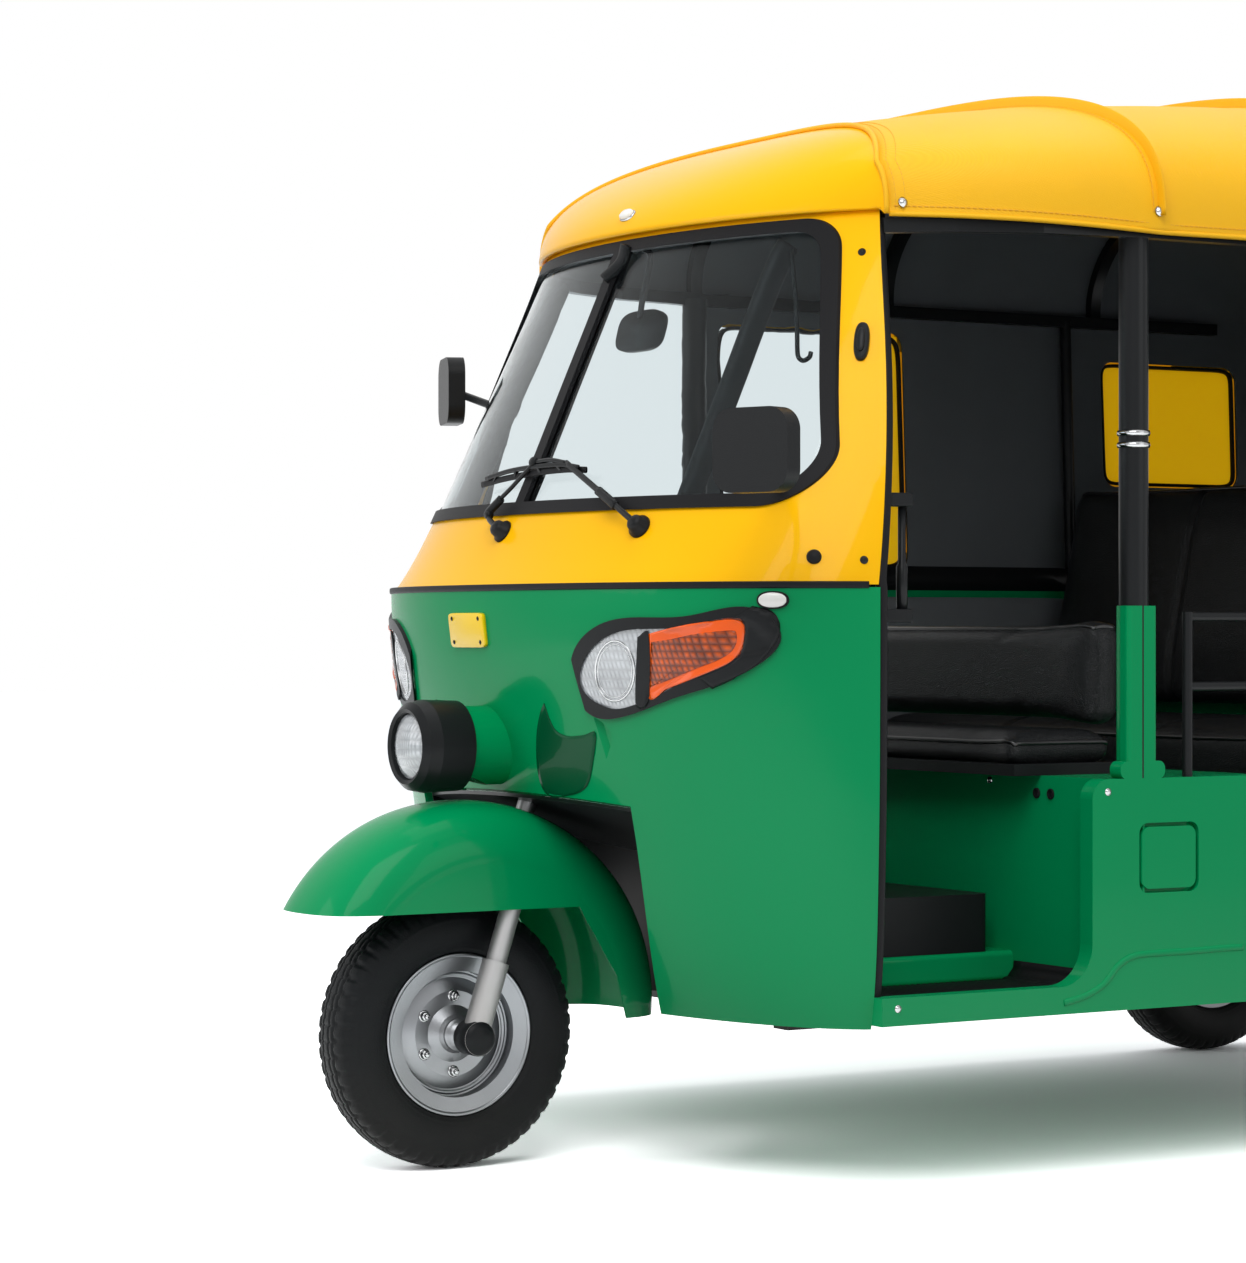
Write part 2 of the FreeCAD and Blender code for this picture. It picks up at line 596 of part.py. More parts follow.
# Fuel flap
FLAP_Y0, FLAP_Y1 = 846.0, 950.0
FLAP_Z0, FLAP_Z1 = 437.0, 531.0
FLAP_GAP = 6.0
FLAP_POCKET = 12.0
FLAP_T = FLAP_POCKET - RUN_GAP
FLAP_SEAT = 6.0
FLAP_AXIS = V(HALF_WIDTH - FLAP_T / 2, FLAP_Y0 + FLAP_T / 2, 0)
PIN_R = 2.5
PIN_LENGTH = 16.0


def flap_hole(gap):
    """The pocket for the fuel flap in the left side."""
    return rounded(HALF_WIDTH - FLAP_POCKET, HALF_WIDTH + 5, FLAP_Y0 - gap, FLAP_Y1 + gap,
                   FLAP_Z0 - gap, FLAP_Z1 + gap, 16, X_AXIS)


def flap_pins(radius, reach):
    """The flap's two hinge pins, which stand in the pocket's top and bottom walls."""
    pins = []
    low = (FLAP_Z0 - FLAP_GAP - reach, FLAP_Z0 + PIN_LENGTH)
    high = (FLAP_Z1 - PIN_LENGTH, FLAP_Z1 + FLAP_GAP + reach)
    for z0, z1 in (low, high):
        pins.append(tube(FLAP_AXIS + Z_AXIS * z0, FLAP_AXIS + Z_AXIS * z1, radius))
    return pins


def fuel_flap():
    """The fuel filler's flap, flush with the side, its front edge rounded about the hinge pins."""
    solid = rounded(HALF_WIDTH - FLAP_T, HALF_WIDTH, FLAP_Y0, FLAP_Y1, FLAP_Z0, FLAP_Z1, 14, X_AXIS)
    corner = box(HALF_WIDTH - FLAP_T, HALF_WIDTH, FLAP_Y0, FLAP_AXIS.y, FLAP_Z0, FLAP_Z1)
    round_edge = tube(FLAP_AXIS + Z_AXIS * FLAP_Z0, FLAP_AXIS + Z_AXIS * FLAP_Z1, FLAP_T / 2)
    solid = solid.cut(corner.cut(round_edge))
    for pin in flap_pins(PIN_R + RUN_GAP, 0):
        solid = solid.cut(pin)
    return solid


def floor_pan():
    """The floor from the cab to the rear deck, with the raised platform ahead of the driver's seat."""
    inside = cab_form(CAB_SECTIONS, -CAB_WALL).cut(behind_cab())
    inside = inside.fuse(box(-SIDE_IN, SIDE_IN, CAB_BACK_Y, DECK_Y, 200, 900))
    plate = inside.common(box(-FAR, FAR, 0, FAR, FLOOR_Z, MAT_Z))
    step = rounded(-PLATFORM_HALF, PLATFORM_HALF, 200, BOX_FRONT_Y + 40, MAT_Z - 1, PLATFORM_Z, 8, Y_AXIS)
    raised = inside.common(step)
    under = PLATFORM_HALF - SHEET
    raised = raised.cut(box(-under, under, 0, FAR, MAT_Z - 1, PLATFORM_Z - SHEET))
    raised = raised.cut(box(-FAR, FAR, BOX_FRONT_Y, FAR, 0, FAR))
    return plate.fuse(raised).cut(arch_form(ARCH_R, ARCH_TOP))


def floor_locker():
    """The low moulded locker on the platform ahead of the driver's seat."""
    solid = rounded(-LOCKER_HALF, LOCKER_HALF, LOCKER_Y0, LOCKER_Y1, PLATFORM_Z, LOCKER_TOP_Z, 14, Z_AXIS)
    inner = LOCKER_HALF - SHEET
    return solid.cut(box(-inner, inner, LOCKER_Y0 + SHEET, LOCKER_Y1 - SHEET, 0, LOCKER_TOP_Z - SHEET))


def driver_box():
    """The hollow box under the driver's bench."""
    solid = box(-SIDE_IN, SIDE_IN, BOX_FRONT_Y, BOX_REAR_Y - SHEET, MAT_Z, BOX_TOP_Z)
    return solid.cut(box(-SIDE_IN + SHEET, SIDE_IN - SHEET, BOX_FRONT_Y + SHEET, BOX_REAR_Y - 2 * SHEET,
                         0, BOX_TOP_Z - SHEET))


def passenger_box():
    """The hollow box under the passengers' bench."""
    solid = box(-SIDE_IN, SIDE_IN, PASSENGER_BOX_Y, DECK_Y, MAT_Z, PASSENGER_BOX_TOP)
    return solid.cut(box(-SIDE_IN + SHEET, SIDE_IN - SHEET, PASSENGER_BOX_Y + SHEET, DECK_Y - SHEET,
                         0, PASSENGER_BOX_TOP - SHEET))


def rear_deck():
    """The deck over the engine and the wheels, with the wall that carries the backrest."""
    deck = box(-SIDE_IN, SIDE_IN, DECK_Y, TAIL_Y - PANEL_T, DECK_Z, DECK_Z + DECK_T)
    wall = box(-SIDE_IN, SIDE_IN, DECK_Y, DECK_Y + SHEET, PASSENGER_BOX_TOP - 60, SIDE_RAIL_Z)
    return deck.fuse(wall)


# Seats
CUSHION_HALF = HALF_WIDTH - 150
DRIVER_CUSHION_Y = 716.0
DRIVER_CUSHION_DEPTH = 215.0
DRIVER_CUSHION_TOP = 674.0
ROLL_Y0, ROLL_Y1 = 868.0, 928.0
ROLL_TOP = 855.0
PASSENGER_CUSHION_TOP = 680.0
BACKREST_T = 85.0
BACKREST_HEIGHT = 440.0
BACKREST_LEAN = math.radians(12.0)


def soft_box(x0, x1, y0, y1, z0, z1, radius):
    """An upholstered block, every edge rounded."""
    solid = box(x0, x1, y0, y1, z0, z1)
    return solid.makeFillet(radius, solid.Edges)


def driver_seat():
    """The driver's bench cushion, its base and the bolster behind it."""
    y0, y1 = DRIVER_CUSHION_Y, DRIVER_CUSHION_Y + DRIVER_CUSHION_DEPTH
    base = box(-CUSHION_HALF + 8, CUSHION_HALF - 8, y0 + 8, y1, BOX_TOP_Z, BOX_TOP_Z + 18)
    cushion = soft_box(-CUSHION_HALF, CUSHION_HALF, y0, y1, BOX_TOP_Z + 18, DRIVER_CUSHION_TOP, 18)
    roll = soft_box(-CUSHION_HALF, CUSHION_HALF, ROLL_Y0, ROLL_Y1 + 20, DRIVER_CUSHION_TOP, ROLL_TOP, 28)
    return base, cushion, roll


def passenger_seat():
    """The passengers' bench cushion and its leaning backrest."""
    y0, y1 = PASSENGER_BOX_Y - 20, DECK_Y
    cushion = soft_box(-SIDE_IN + 15, SIDE_IN - 15, y0, y1 - 10, PASSENGER_BOX_TOP, PASSENGER_CUSHION_TOP, 30)
    back = soft_box(-SIDE_IN + 25, SIDE_IN - 25, -BACKREST_T, 0, 0, BACKREST_HEIGHT, 26)
    back.rotate(V(0, 0, 0), X_AXIS, -math.degrees(BACKREST_LEAN))
    rise = SIDE_RAIL_Z - PASSENGER_CUSHION_TOP
    back.translate(V(0, y1 - rise * math.tan(BACKREST_LEAN) + 2, PASSENGER_CUSHION_TOP - 10))
    return cushion, back.cut(cushion).cut(rear_deck())


# Hood and roof cap
# distance from the front axle, half width, shoulder height, crown height
ROOF_SECTIONS = [
    (240.0, HALF_WIDTH - 150, 1446.0, 1560.0),
    (400.0, HALF_WIDTH - 142, 1448.0, 1592.0),
    (470.0, HALF_WIDTH - 134, 1450.0, 1605.0),
    (560.0, HALF_WIDTH - 72, 1448.0, 1622.0),
    (680.0, HALF_WIDTH - 18, 1444.0, 1643.0),
    (860.0, HALF_WIDTH + 13, 1438.0, 1667.0),
    (1300.0, HALF_WIDTH + 25, 1430.0, 1700.0),
    (WHEELBASE - 200, HALF_WIDTH + 26, 1425.0, 1700.0),
    (TAIL_Y - 200, HALF_WIDTH + 22, 1420.0, 1668.0),
    (TAIL_Y - 80, HALF_WIDTH + 14, 1410.0, 1620.0),
    (TAIL_Y - 18, HALF_WIDTH + 2, 1395.0, 1550.0),
]
# height, half width, front Y, back Y and roundness of the cap's nose
NOSE_SECTIONS = [
    (1440.0, HALF_WIDTH - 37, 303.0, 650.0, 2.0),
    (1470.0, HALF_WIDTH - 40, 317.0, 660.0, 2.0),
    (1510.0, HALF_WIDTH - 50, 352.0, 700.0, 2.0),
    (1550.0, HALF_WIDTH - 65, 408.0, 750.0, 2.0),
    (1590.0, HALF_WIDTH - 85, 492.0, 820.0, 2.0),
    (1625.0, HALF_WIDTH - 110, 600.0, 920.0, 2.0),
    (1650.0, HALF_WIDTH - 140, 730.0, 1030.0, 2.0),
]
ROOF_POWER = 2.9
CANVAS_T = 5.0
LINING_T = 5.0
CAP_T = 8.0
CAP_LOW_Z = 1456.0
CAP_FLOOR_Z = 1472.0
CAP_BACK_Y = 466.0
SEAM_CENTRE_Y = 300.0
SEAM_HALF = HALF_WIDTH - 92
SEAM_DEPTH = 390.0
SEAM_LAP = 20.0
HEM_Z = 1430.0
HEM_FRONT_Z = 1450.0
SIDE_WINDOW = (925.0, 1338.0, 950.0, 1390.0)
QUARTER_WINDOW = (TAIL_Y - 471, TAIL_Y - 140, 1120.0, 1355.0)
TAIL_WINDOW_HALF = 330.0
TAIL_WINDOW_Z0, TAIL_WINDOW_Z1 = 1090.0, 1330.0
HOOD_QUARTER_Y = QUARTER_Y + 50
WALL_FRONT_Y = 872.0
BOW_SECTIONS = ROOF_SECTIONS[5:8]
BOW_T = 16.0
BOW_W = 24.0
BOW_GAP = 4.0
TOP_RAIL_R = 11.0
RAIL_TOP_Z = 1434.0
# distance from the front axle and half width at each bend of the top rail
RAIL_STATIONS = [(section[0], section[1] - 1) for section in ROOF_SECTIONS[2:9]]


def arch_curve(y, half, shoulder, crown, grow):
    """The flat arch of the roof between its shoulders at one section, moved outwards by grow."""
    steps = 12
    w = half + grow
    points = []
    for i in range(steps + 1):
        t = math.pi * i / steps
        c, s = math.cos(t), math.sin(t)
        x = w * math.copysign(abs(c) ** (2 / ROOF_POWER), c)
        z = shoulder + (crown + grow - shoulder) * abs(s) ** (2 / ROOF_POWER)
        points.append(V(x, y, z))
    curve = Part.BSplineCurve()
    curve.interpolate(points)
    return curve.toShape()


def roof_wire(y, half, shoulder, crown, grow):
    """One section of the hood: straight walls up to the shoulders and a flat arch between them."""
    arch = arch_curve(y, half, shoulder, crown, grow)
    left, right = V(half + grow, y, shoulder), V(-half - grow, y, shoulder)
    foot = HALF_WIDTH + 2 + grow
    low_left, low_right = V(foot, y, SIDE_RAIL_Z), V(-foot, y, SIDE_RAIL_Z)
    return Part.Wire([Part.makeLine(low_left, left), arch, Part.makeLine(right, low_right),
                      Part.makeLine(low_right, low_left)])


def roof_form(grow):
    """The solid form of hood and roof, moved outwards by grow."""
    wires = [roof_wire(y, half, shoulder, crown, grow) for y, half, shoulder, crown in ROOF_SECTIONS[:-1]]
    y, half, shoulder, crown = ROOF_SECTIONS[-1]
    wires.append(roof_wire(y + grow, half, shoulder, crown, grow))
    return Part.makeLoft(wires, True, False)


def seam_form(grow):
    """The part of the roof ahead of the seam, which sweeps back towards the middle."""
    circle = Part.makeCylinder(1, 1000, V(0, 0, 900), Z_AXIS)
    matrix = FreeCAD.Matrix()
    matrix.scale(V(SEAM_HALF + grow, SEAM_DEPTH + grow, 1))
    solid = circle.transformGeometry(matrix)
    solid.translate(V(0, SEAM_CENTRE_Y, 0))
    return solid


def roof_cap():
    """The painted cap over the windscreen, its nose rounded down to the cab and its edge lapping it."""
    above = box(-FAR, FAR, -FAR, FAR, CAP_LOW_Z, FAR)
    outer = roof_form(0).common(cab_form(NOSE_SECTIONS, 0)).common(seam_form(0)).common(above)
    inner = roof_form(-CAP_T).common(cab_form(NOSE_SECTIONS, -CAP_T))
    solid = outer.cut(inner.common(box(-FAR, FAR, -FAR, FAR, CAP_FLOOR_Z, FAR)))
    solid = solid.cut(inner.common(box(-FAR, FAR, CAP_BACK_Y, FAR, 0, FAR)))
    solid = solid.cut(cab_form(CAB_UPPER_SECTIONS, -CAB_WALL))
    return solid.cut(cab_form(CAB_UPPER_SECTIONS, 0).common(box(-FAR, FAR, -FAR, FAR, 0, CAB_TOP_Z)))


def hood_openings():
    """What is left open under the hood: ahead of the seam, both doorways and the left passenger side."""
    profile = ring([V(-FAR, -FAR, 0), V(-FAR, WALL_FRONT_Y, 0), V(-FAR, WALL_FRONT_Y, HEM_Z),
                    V(-FAR, CAP_BACK_Y, HEM_FRONT_Z), V(-FAR, -FAR, HEM_FRONT_Z)])
    front = profile.extrude(V(2 * FAR, 0, 0))
    left = box(0, FAR, -FAR, HOOD_QUARTER_Y, 0, HEM_Z)
    return front.fuse(left)


def hood_windows(grow):
    """The windows of the right wall and the tail."""
    walls = []
    far = -HALF_WIDTH - 200
    for y0, y1, z0, z1 in (SIDE_WINDOW, QUARTER_WINDOW):
        walls.append(rounded(far, -SIDE_IN, y0 - grow, y1 + grow, z0 - grow, z1 + grow, 30, X_AXIS))
    tail = rounded(-TAIL_WINDOW_HALF - grow, TAIL_WINDOW_HALF + grow, TAIL_Y - 120, TAIL_Y + 50,
                   TAIL_WINDOW_Z0 - grow, TAIL_WINDOW_Z1 + grow, 40, Y_AXIS)
    return Part.makeCompound(walls + [tail])


def hood_canvas():
    """The vinyl hood: roof, right wall, rear quarter and tail in one skin."""
    solid = roof_form(CANVAS_T).cut(roof_form(0))
    solid = solid.cut(box(-FAR, FAR, -FAR, CAP_BACK_Y, 0, FAR)).cut(hood_openings())
    solid = solid.cut(seam_form(-SEAM_LAP))
    for window in hood_windows(0).Solids:
        solid = solid.cut(window)
    return solid


def hood_lining():
    """The dark lining under the hood."""
    solid = roof_form(0).cut(roof_form(-LINING_T))
    solid = solid.cut(box(-FAR, FAR, -FAR, CAP_BACK_Y + 6, 0, FAR)).cut(hood_openings())
    solid = solid.cut(box(-FAR, FAR, -FAR, FAR, 0, SIDE_RAIL_Z + 8)).cut(seam_form(2))
    for window in hood_windows(6).Solids:
        solid = solid.cut(window)
    return solid


def hood_bow(section):
    """One roof bow: a flat strip bent to the lining's inner face at one section of the roof."""
    y, half, shoulder, crown = section
    outer = arch_curve(y, half, shoulder, crown, -LINING_T - BOW_GAP)
    inner = arch_curve(y, half, shoulder, crown, -LINING_T - BOW_GAP - BOW_T)
    ends = [outer.firstVertex(), outer.lastVertex(), inner.firstVertex(), inner.lastVertex()]
    wire = Part.Wire([outer, Part.makeLine(ends[1].Point, ends[3].Point), inner,
                      Part.makeLine(ends[2].Point, ends[0].Point)])
    strip = Part.Face(wire).extrude(V(0, BOW_W, 0))
    strip.translate(V(0, -BOW_W / 2, 0))
    return strip


def hood_frame():
    """Side rails, roof bows and pillars that carry the hood."""
    parts = [hood_bow(section) for section in BOW_SECTIONS]
    x = HALF_WIDTH - B_PILLAR_R
    parts.append(tube(V(x, B_PILLAR_Y, BOX_TOP_Z), V(x, B_PILLAR_Y, RAIL_TOP_Z), B_PILLAR_R))
    parts.append(tube(V(-x, B_PILLAR_Y, SIDE_RAIL_Z), V(-x, B_PILLAR_Y, RAIL_TOP_Z), B_PILLAR_R))
    points = [V(half - LINING_T - BOW_GAP - TOP_RAIL_R, y, RAIL_TOP_Z) for y, half in RAIL_STATIONS]
    post_y = HOOD_QUARTER_Y + 22
    foot = V(SIDE_IN + TOP_RAIL_R, post_y, SIDE_RAIL_Z - 20)
    post = tube(foot, V(points[-1].x, post_y, RAIL_TOP_Z), TOP_RAIL_R)
    post = post.cut(box(0, FAR, 0, FAR, 0, SIDE_RAIL_Z))
    parts += [post, mirrored(post)]
    low = V(0, 0, -TOP_RAIL_R)
    outer_edge = [point + V(TOP_RAIL_R, 0, 0) + low for point in points]
    inner_edge = [point - V(TOP_RAIL_R, 0, 0) + low for point in reversed(points)]
    rail = ring(outer_edge + inner_edge).extrude(V(0, 0, 2 * TOP_RAIL_R))
    parts += [rail, mirrored(rail)]
    solid = parts[0]
    for part in parts[1:]:
        solid = solid.fuse(part)
    return solid


# Chassis, engine and rear suspension
RAIL_X = 330.0
RAIL_W = 40.0
RAIL_LOW_Z = 220.0
RAIL_FRONT_Y = 402.0
RAIL_END_Y = TAIL_Y - 50
KICK_Y = DECK_Y + 2
KICK_LOW_Z = 400.0
KICK_TOP_Z = 460.0
PIVOT_Y = WHEELBASE - 380
PIVOT_Z = 250.0
PIVOT_R = 18.0
ARM_X = REAR_TRACK / 2 - 110
ARM_HALF = 26.0
ENGINE_HALF = 160.0
ENGINE_Y0, ENGINE_Y1 = WHEELBASE - 200, WHEELBASE + 180
ENGINE_Z0, ENGINE_Z1 = 230.0, 540.0
SHAFT_R = 10.0
SHAFT_Z = 300.0
DAMPER_R = 24.0
DAMPER_Y = WHEELBASE - 100
DAMPER_FOOT_Z = 265.0


def chassis():
    """The chassis: two rails kicked up over the rear axle, cross members and the arms' pivot tube."""
    side = ring([V(RAIL_X - RAIL_W / 2, y, z) for y, z in (
        (RAIL_FRONT_Y, RAIL_LOW_Z), (KICK_Y + 28, RAIL_LOW_Z), (KICK_Y + 148, KICK_LOW_Z),
        (RAIL_END_Y, KICK_LOW_Z), (RAIL_END_Y, KICK_TOP_Z), (KICK_Y + 118, KICK_TOP_Z),
        (KICK_Y, FLOOR_Z), (RAIL_FRONT_Y, FLOOR_Z))])
    rail = side.extrude(V(RAIL_W, 0, 0))
    solid = rail.fuse(mirrored(rail))
    low = RAIL_LOW_Z + 10
    for y, z in ((RAIL_FRONT_Y + 30, low), (BOX_REAR_Y, low), (RAIL_END_Y - 40, KICK_LOW_Z)):
        solid = solid.fuse(box(-RAIL_X, RAIL_X, y, y + 40, z, z + 50))
    for y in (420.0, 900.0, 1400.0):
        solid = solid.fuse(box(-SIDE_IN, SIDE_IN, y, y + 30, FLOOR_Z - 20, FLOOR_Z))
    pivot = tube(V(-ARM_X - ARM_HALF - 6, PIVOT_Y, PIVOT_Z), V(ARM_X + ARM_HALF + 6, PIVOT_Y, PIVOT_Z), PIVOT_R)
    solid = solid.fuse(pivot)
    mounts = box(-RAIL_X, RAIL_X, ENGINE_Y0 + 60, ENGINE_Y0 + 120, KICK_LOW_Z, KICK_LOW_Z + 20)
    mounts = mounts.fuse(box(-RAIL_X, RAIL_X, ENGINE_Y1 - 90, ENGINE_Y1 - 30, KICK_LOW_Z, KICK_LOW_Z + 20))
    return solid.fuse(mounts).cut(engine_hull())


def engine_hull():
    """The plain space that the engine fills."""
    return rounded(-ENGINE_HALF, ENGINE_HALF, ENGINE_Y0, ENGINE_Y1, ENGINE_Z0, ENGINE_Z1, 30, Y_AXIS)


def engine():
    """Engine and gearbox as one plain block, with the output shaft bosses."""
    solid = engine_hull()
    bosses = tube(V(-ENGINE_HALF - 24, WHEELBASE, SHAFT_Z), V(ENGINE_HALF + 24, WHEELBASE, SHAFT_Z), 30)
    return solid.fuse(bosses)


def drive_shafts():
    """The shafts from the gearbox out to both rear hubs, with their joints."""
    inner = V(ENGINE_HALF + 24, WHEELBASE, SHAFT_Z)
    outer = V(ARM_X - ARM_HALF, WHEELBASE, TYRE_R)
    along = (outer - inner).normalize()
    solid = tube(inner + along * 8, outer - along * 8, SHAFT_R)
    solid = solid.fuse(tube(inner, inner + X_AXIS * 44, 24)).fuse(tube(outer, outer - X_AXIS * 44, 26))
    return both(solid)


def trailing_arms():
    """The trailing arms, each with its pivot bush, hub boss and stub axle."""
    bush = tube(V(ARM_X - ARM_HALF, PIVOT_Y, PIVOT_Z), V(ARM_X + ARM_HALF, PIVOT_Y, PIVOT_Z), PIVOT_R + 12)
    boss = tube(V(ARM_X - ARM_HALF, WHEELBASE, TYRE_R), V(ARM_X + ARM_HALF, WHEELBASE, TYRE_R), 40)
    arm = ring([V(ARM_X - 22, PIVOT_Y, PIVOT_Z + 26), V(ARM_X - 22, WHEELBASE, TYRE_R + 34),
                V(ARM_X - 22, WHEELBASE, TYRE_R - 34), V(ARM_X - 22, PIVOT_Y, PIVOT_Z - 26)])
    solid = bush.fuse(boss).fuse(arm.extrude(V(44, 0, 0)))
    hub_x = REAR_TRACK / 2
    axle = tube(V(ARM_X, WHEELBASE, TYRE_R), V(hub_x + 56, WHEELBASE, TYRE_R), AXLE_R)
    axle = axle.fuse(tube(V(ARM_X, WHEELBASE, TYRE_R), V(hub_x - 42, WHEELBASE, TYRE_R), COLLAR_R + 4))
    axle = axle.fuse(tube(V(hub_x + 46, WHEELBASE, TYRE_R), V(hub_x + 56, WHEELBASE, TYRE_R), COLLAR_R))
    seat = box(ARM_X - 24, ARM_X + 24, DAMPER_Y - 30, DAMPER_Y + 30, TYRE_R + 20, DAMPER_FOOT_Z)
    solid = solid.fuse(axle).fuse(seat)
    return both(solid.cut(tube(V(0, PIVOT_Y, PIVOT_Z), V(FAR, PIVOT_Y, PIVOT_Z), PIVOT_R + RUN_GAP)))


def dampers():
    """The spring and damper units between the arms and the rear deck."""
    foot = V(ARM_X, DAMPER_Y, DAMPER_FOOT_Z)
    solid = tube(foot, V(ARM_X, DAMPER_Y, DECK_Z), 14)
    solid = solid.fuse(tube(foot + Z_AXIS * 40, V(ARM_X, DAMPER_Y, DECK_Z - 60), DAMPER_R + 8))
    return both(solid)


def silencer():
    """The exhaust silencer across the tail, strapped to the rear cross member."""
    y = RAIL_END_Y - 20
    z = KICK_LOW_Z - 46
    solid = tube(V(-230, y, z), V(230, y, z), 46)
    solid = solid.makeFillet(12, [e for e in solid.Edges if len(e.Vertexes) == 1])
    pipe = tube(V(90, ENGINE_Y1 - 20, 320), V(90, y, z), 17)
    tail = tube(V(-190, y, z), V(-190, TAIL_Y - 20, z - 60), 14)
    return solid.fuse(pipe.cut(engine_hull())).fuse(tail)


# Tail
HATCH_HALF = 400.0
HATCH_Z0, HATCH_Z1 = 470.0, 800.0
HATCH_GAP = 6.0
HATCH_T = 10.0
HATCH_LIP = 18.0
HATCH_PLATE = HATCH_T - RUN_GAP
HATCH_AXIS_Y = TAIL_Y - HATCH_PLATE / 2
HATCH_AXIS_Z = HATCH_Z1 - HATCH_PLATE / 2
HATCH_PIN = 36.0
BUMPER_Z = 320.0
BUMPER_R = 20.0
BUMPER_HALF = HALF_WIDTH - 130
TAIL_LAMP_X = HALF_WIDTH - 110
TAIL_LAMP_Z = 640.0
TOW_BORE_R = 11.0


def hatch_pin(side, radius, reach):
    """One of the hatch's hinge pins, which stand in the side walls of its rebate."""
    outer = V(side * (HATCH_HALF + HATCH_GAP + reach), HATCH_AXIS_Y, HATCH_AXIS_Z)
    return tube(outer - X_AXIS * side * (HATCH_PIN + reach), outer, radius)


def rear_panel():
    """The tail panel with the opening and rebate of the engine hatch."""
    solid = rounded(-HALF_WIDTH, HALF_WIDTH, TAIL_Y - PANEL_T, TAIL_Y, PANEL_LOW_Z, SIDE_RAIL_Z, 25, Y_AXIS)
    x = HATCH_HALF - HATCH_LIP
    through = rounded(-x, x, TAIL_Y - 100, TAIL_Y + 100, HATCH_Z0 + HATCH_LIP, HATCH_Z1 - HATCH_LIP, 20, Y_AXIS)
    x = HATCH_HALF + HATCH_GAP
    z0, z1 = HATCH_Z0 - HATCH_GAP, HATCH_Z1 + HATCH_GAP
    rebate = rounded(-x, x, TAIL_Y - HATCH_T, TAIL_Y + 10, z0, z1, 34, Y_AXIS)
    solid = solid.cut(through).cut(rebate)
    return solid.fuse(hatch_pin(1, PIN_R, 30)).fuse(hatch_pin(-1, PIN_R, 30))


def rear_hatch():
    """The engine hatch, its top edge rounded about the hinge pins."""
    solid = rounded(-HATCH_HALF, HATCH_HALF, TAIL_Y - HATCH_PLATE, TAIL_Y, HATCH_Z0, HATCH_Z1, 30, Y_AXIS)
    edge = box(-HATCH_HALF, HATCH_HALF, TAIL_Y - HATCH_PLATE, TAIL_Y, HATCH_AXIS_Z, HATCH_Z1)
    axis = V(0, HATCH_AXIS_Y, HATCH_AXIS_Z)
    edge = edge.cut(tube(axis - X_AXIS * HATCH_HALF, axis + X_AXIS * HATCH_HALF, HATCH_PLATE / 2))
    solid = solid.cut(edge)
    return solid.cut(hatch_pin(1, PIN_R + RUN_GAP, 0)).cut(hatch_pin(-1, PIN_R + RUN_GAP, 0))


def tail_lamps():
    """The rear lamp clusters."""
    solid = rounded(TAIL_LAMP_X - 45, TAIL_LAMP_X + 45, TAIL_Y, TAIL_Y + 32, TAIL_LAMP_Z - 80, TAIL_LAMP_Z + 80,
                    14, Y_AXIS)
    return both(solid)


def rear_bumper():
    """The rear bumper tube on its two brackets, with the towing eye under the middle."""
    y = TAIL_Y + BUMPER_DEPTH - BUMPER_R
    solid = tube(V(-BUMPER_HALF, y, BUMPER_Z), V(BUMPER_HALF, y, BUMPER_Z), BUMPER_R)
    for side in (-1, 1):
        x = side * RAIL_X
        plate = ring([V(x - 6, py, pz) for py, pz in (
            (RAIL_END_Y - 60, KICK_LOW_Z), (RAIL_END_Y, KICK_LOW_Z), (y, BUMPER_Z + 16), (y, BUMPER_Z - 16),
            (y - 24, BUMPER_Z - 16), (RAIL_END_Y - 60, KICK_LOW_Z - 30))])
        solid = solid.fuse(plate.extrude(V(12, 0, 0)))
    lug = rounded(-35, 35, y - 6, y + 6, BUMPER_Z - 62, BUMPER_Z, 20, Y_AXIS)
    solid = solid.fuse(lug)
    return solid.cut(tube(V(0, y - 50, BUMPER_Z - 40), V(0, y + 50, BUMPER_Z - 40), TOW_BORE_R))


# Mirrors
MIRROR_W = 130.0
MIRROR_H = 118.0
MIRROR_T = 30.0


def mirror(centre, turn, foot):
    """A door mirror: a rounded head and the arm that carries it from the cab."""
    head = rounded(-MIRROR_W / 2, MIRROR_W / 2, -MIRROR_T, 0, -MIRROR_H / 2, MIRROR_H / 2, 32, Y_AXIS)
    head.rotate(V(0, 0, 0), Z_AXIS, turn)
    head.translate(centre)
    back = V(centre.x, centre.y - 14, centre.z)
    arm = tube(foot, back, 7).fuse(Part.makeSphere(12, back))
    pad = tube(foot, foot + (back - foot).normalize() * 8, 16)
    return head.fuse(arm).fuse(pad)


def mirrors():
    """Both door mirrors."""
    left = mirror(V(HALF_WIDTH + 74, 110, 1078), 20, V(HALF_WIDTH - 130, 275, 1045))
    right = mirror(V(-HALF_WIDTH - 74, 415, 1255), -20, V(105 - HALF_WIDTH, 395, 1215))
    shell = cab_form(CAB_UPPER_SECTIONS, 0)
    rubber = screen_rubber()
    return left.cut(shell).cut(rubber), right.cut(shell).cut(rubber)


def dashboard():
    """The shelf under the windscreen with the instrument pod."""
    inside = cab_form(CAB_SECTIONS, -CAB_WALL)
    shelf = inside.common(box(-FAR, FAR, 0, 205, BELT_Z - 60, BELT_Z - 48))
    pod = inside.common(soft_box(-75, 75, 60, 175, BELT_Z - 52, BELT_Z + 40, 14))
    lamp = lamp_prism(-SEAT_GAP)
    return shelf.fuse(pod).cut(head_tube()).cut(lamp).cut(mirrored(lamp))


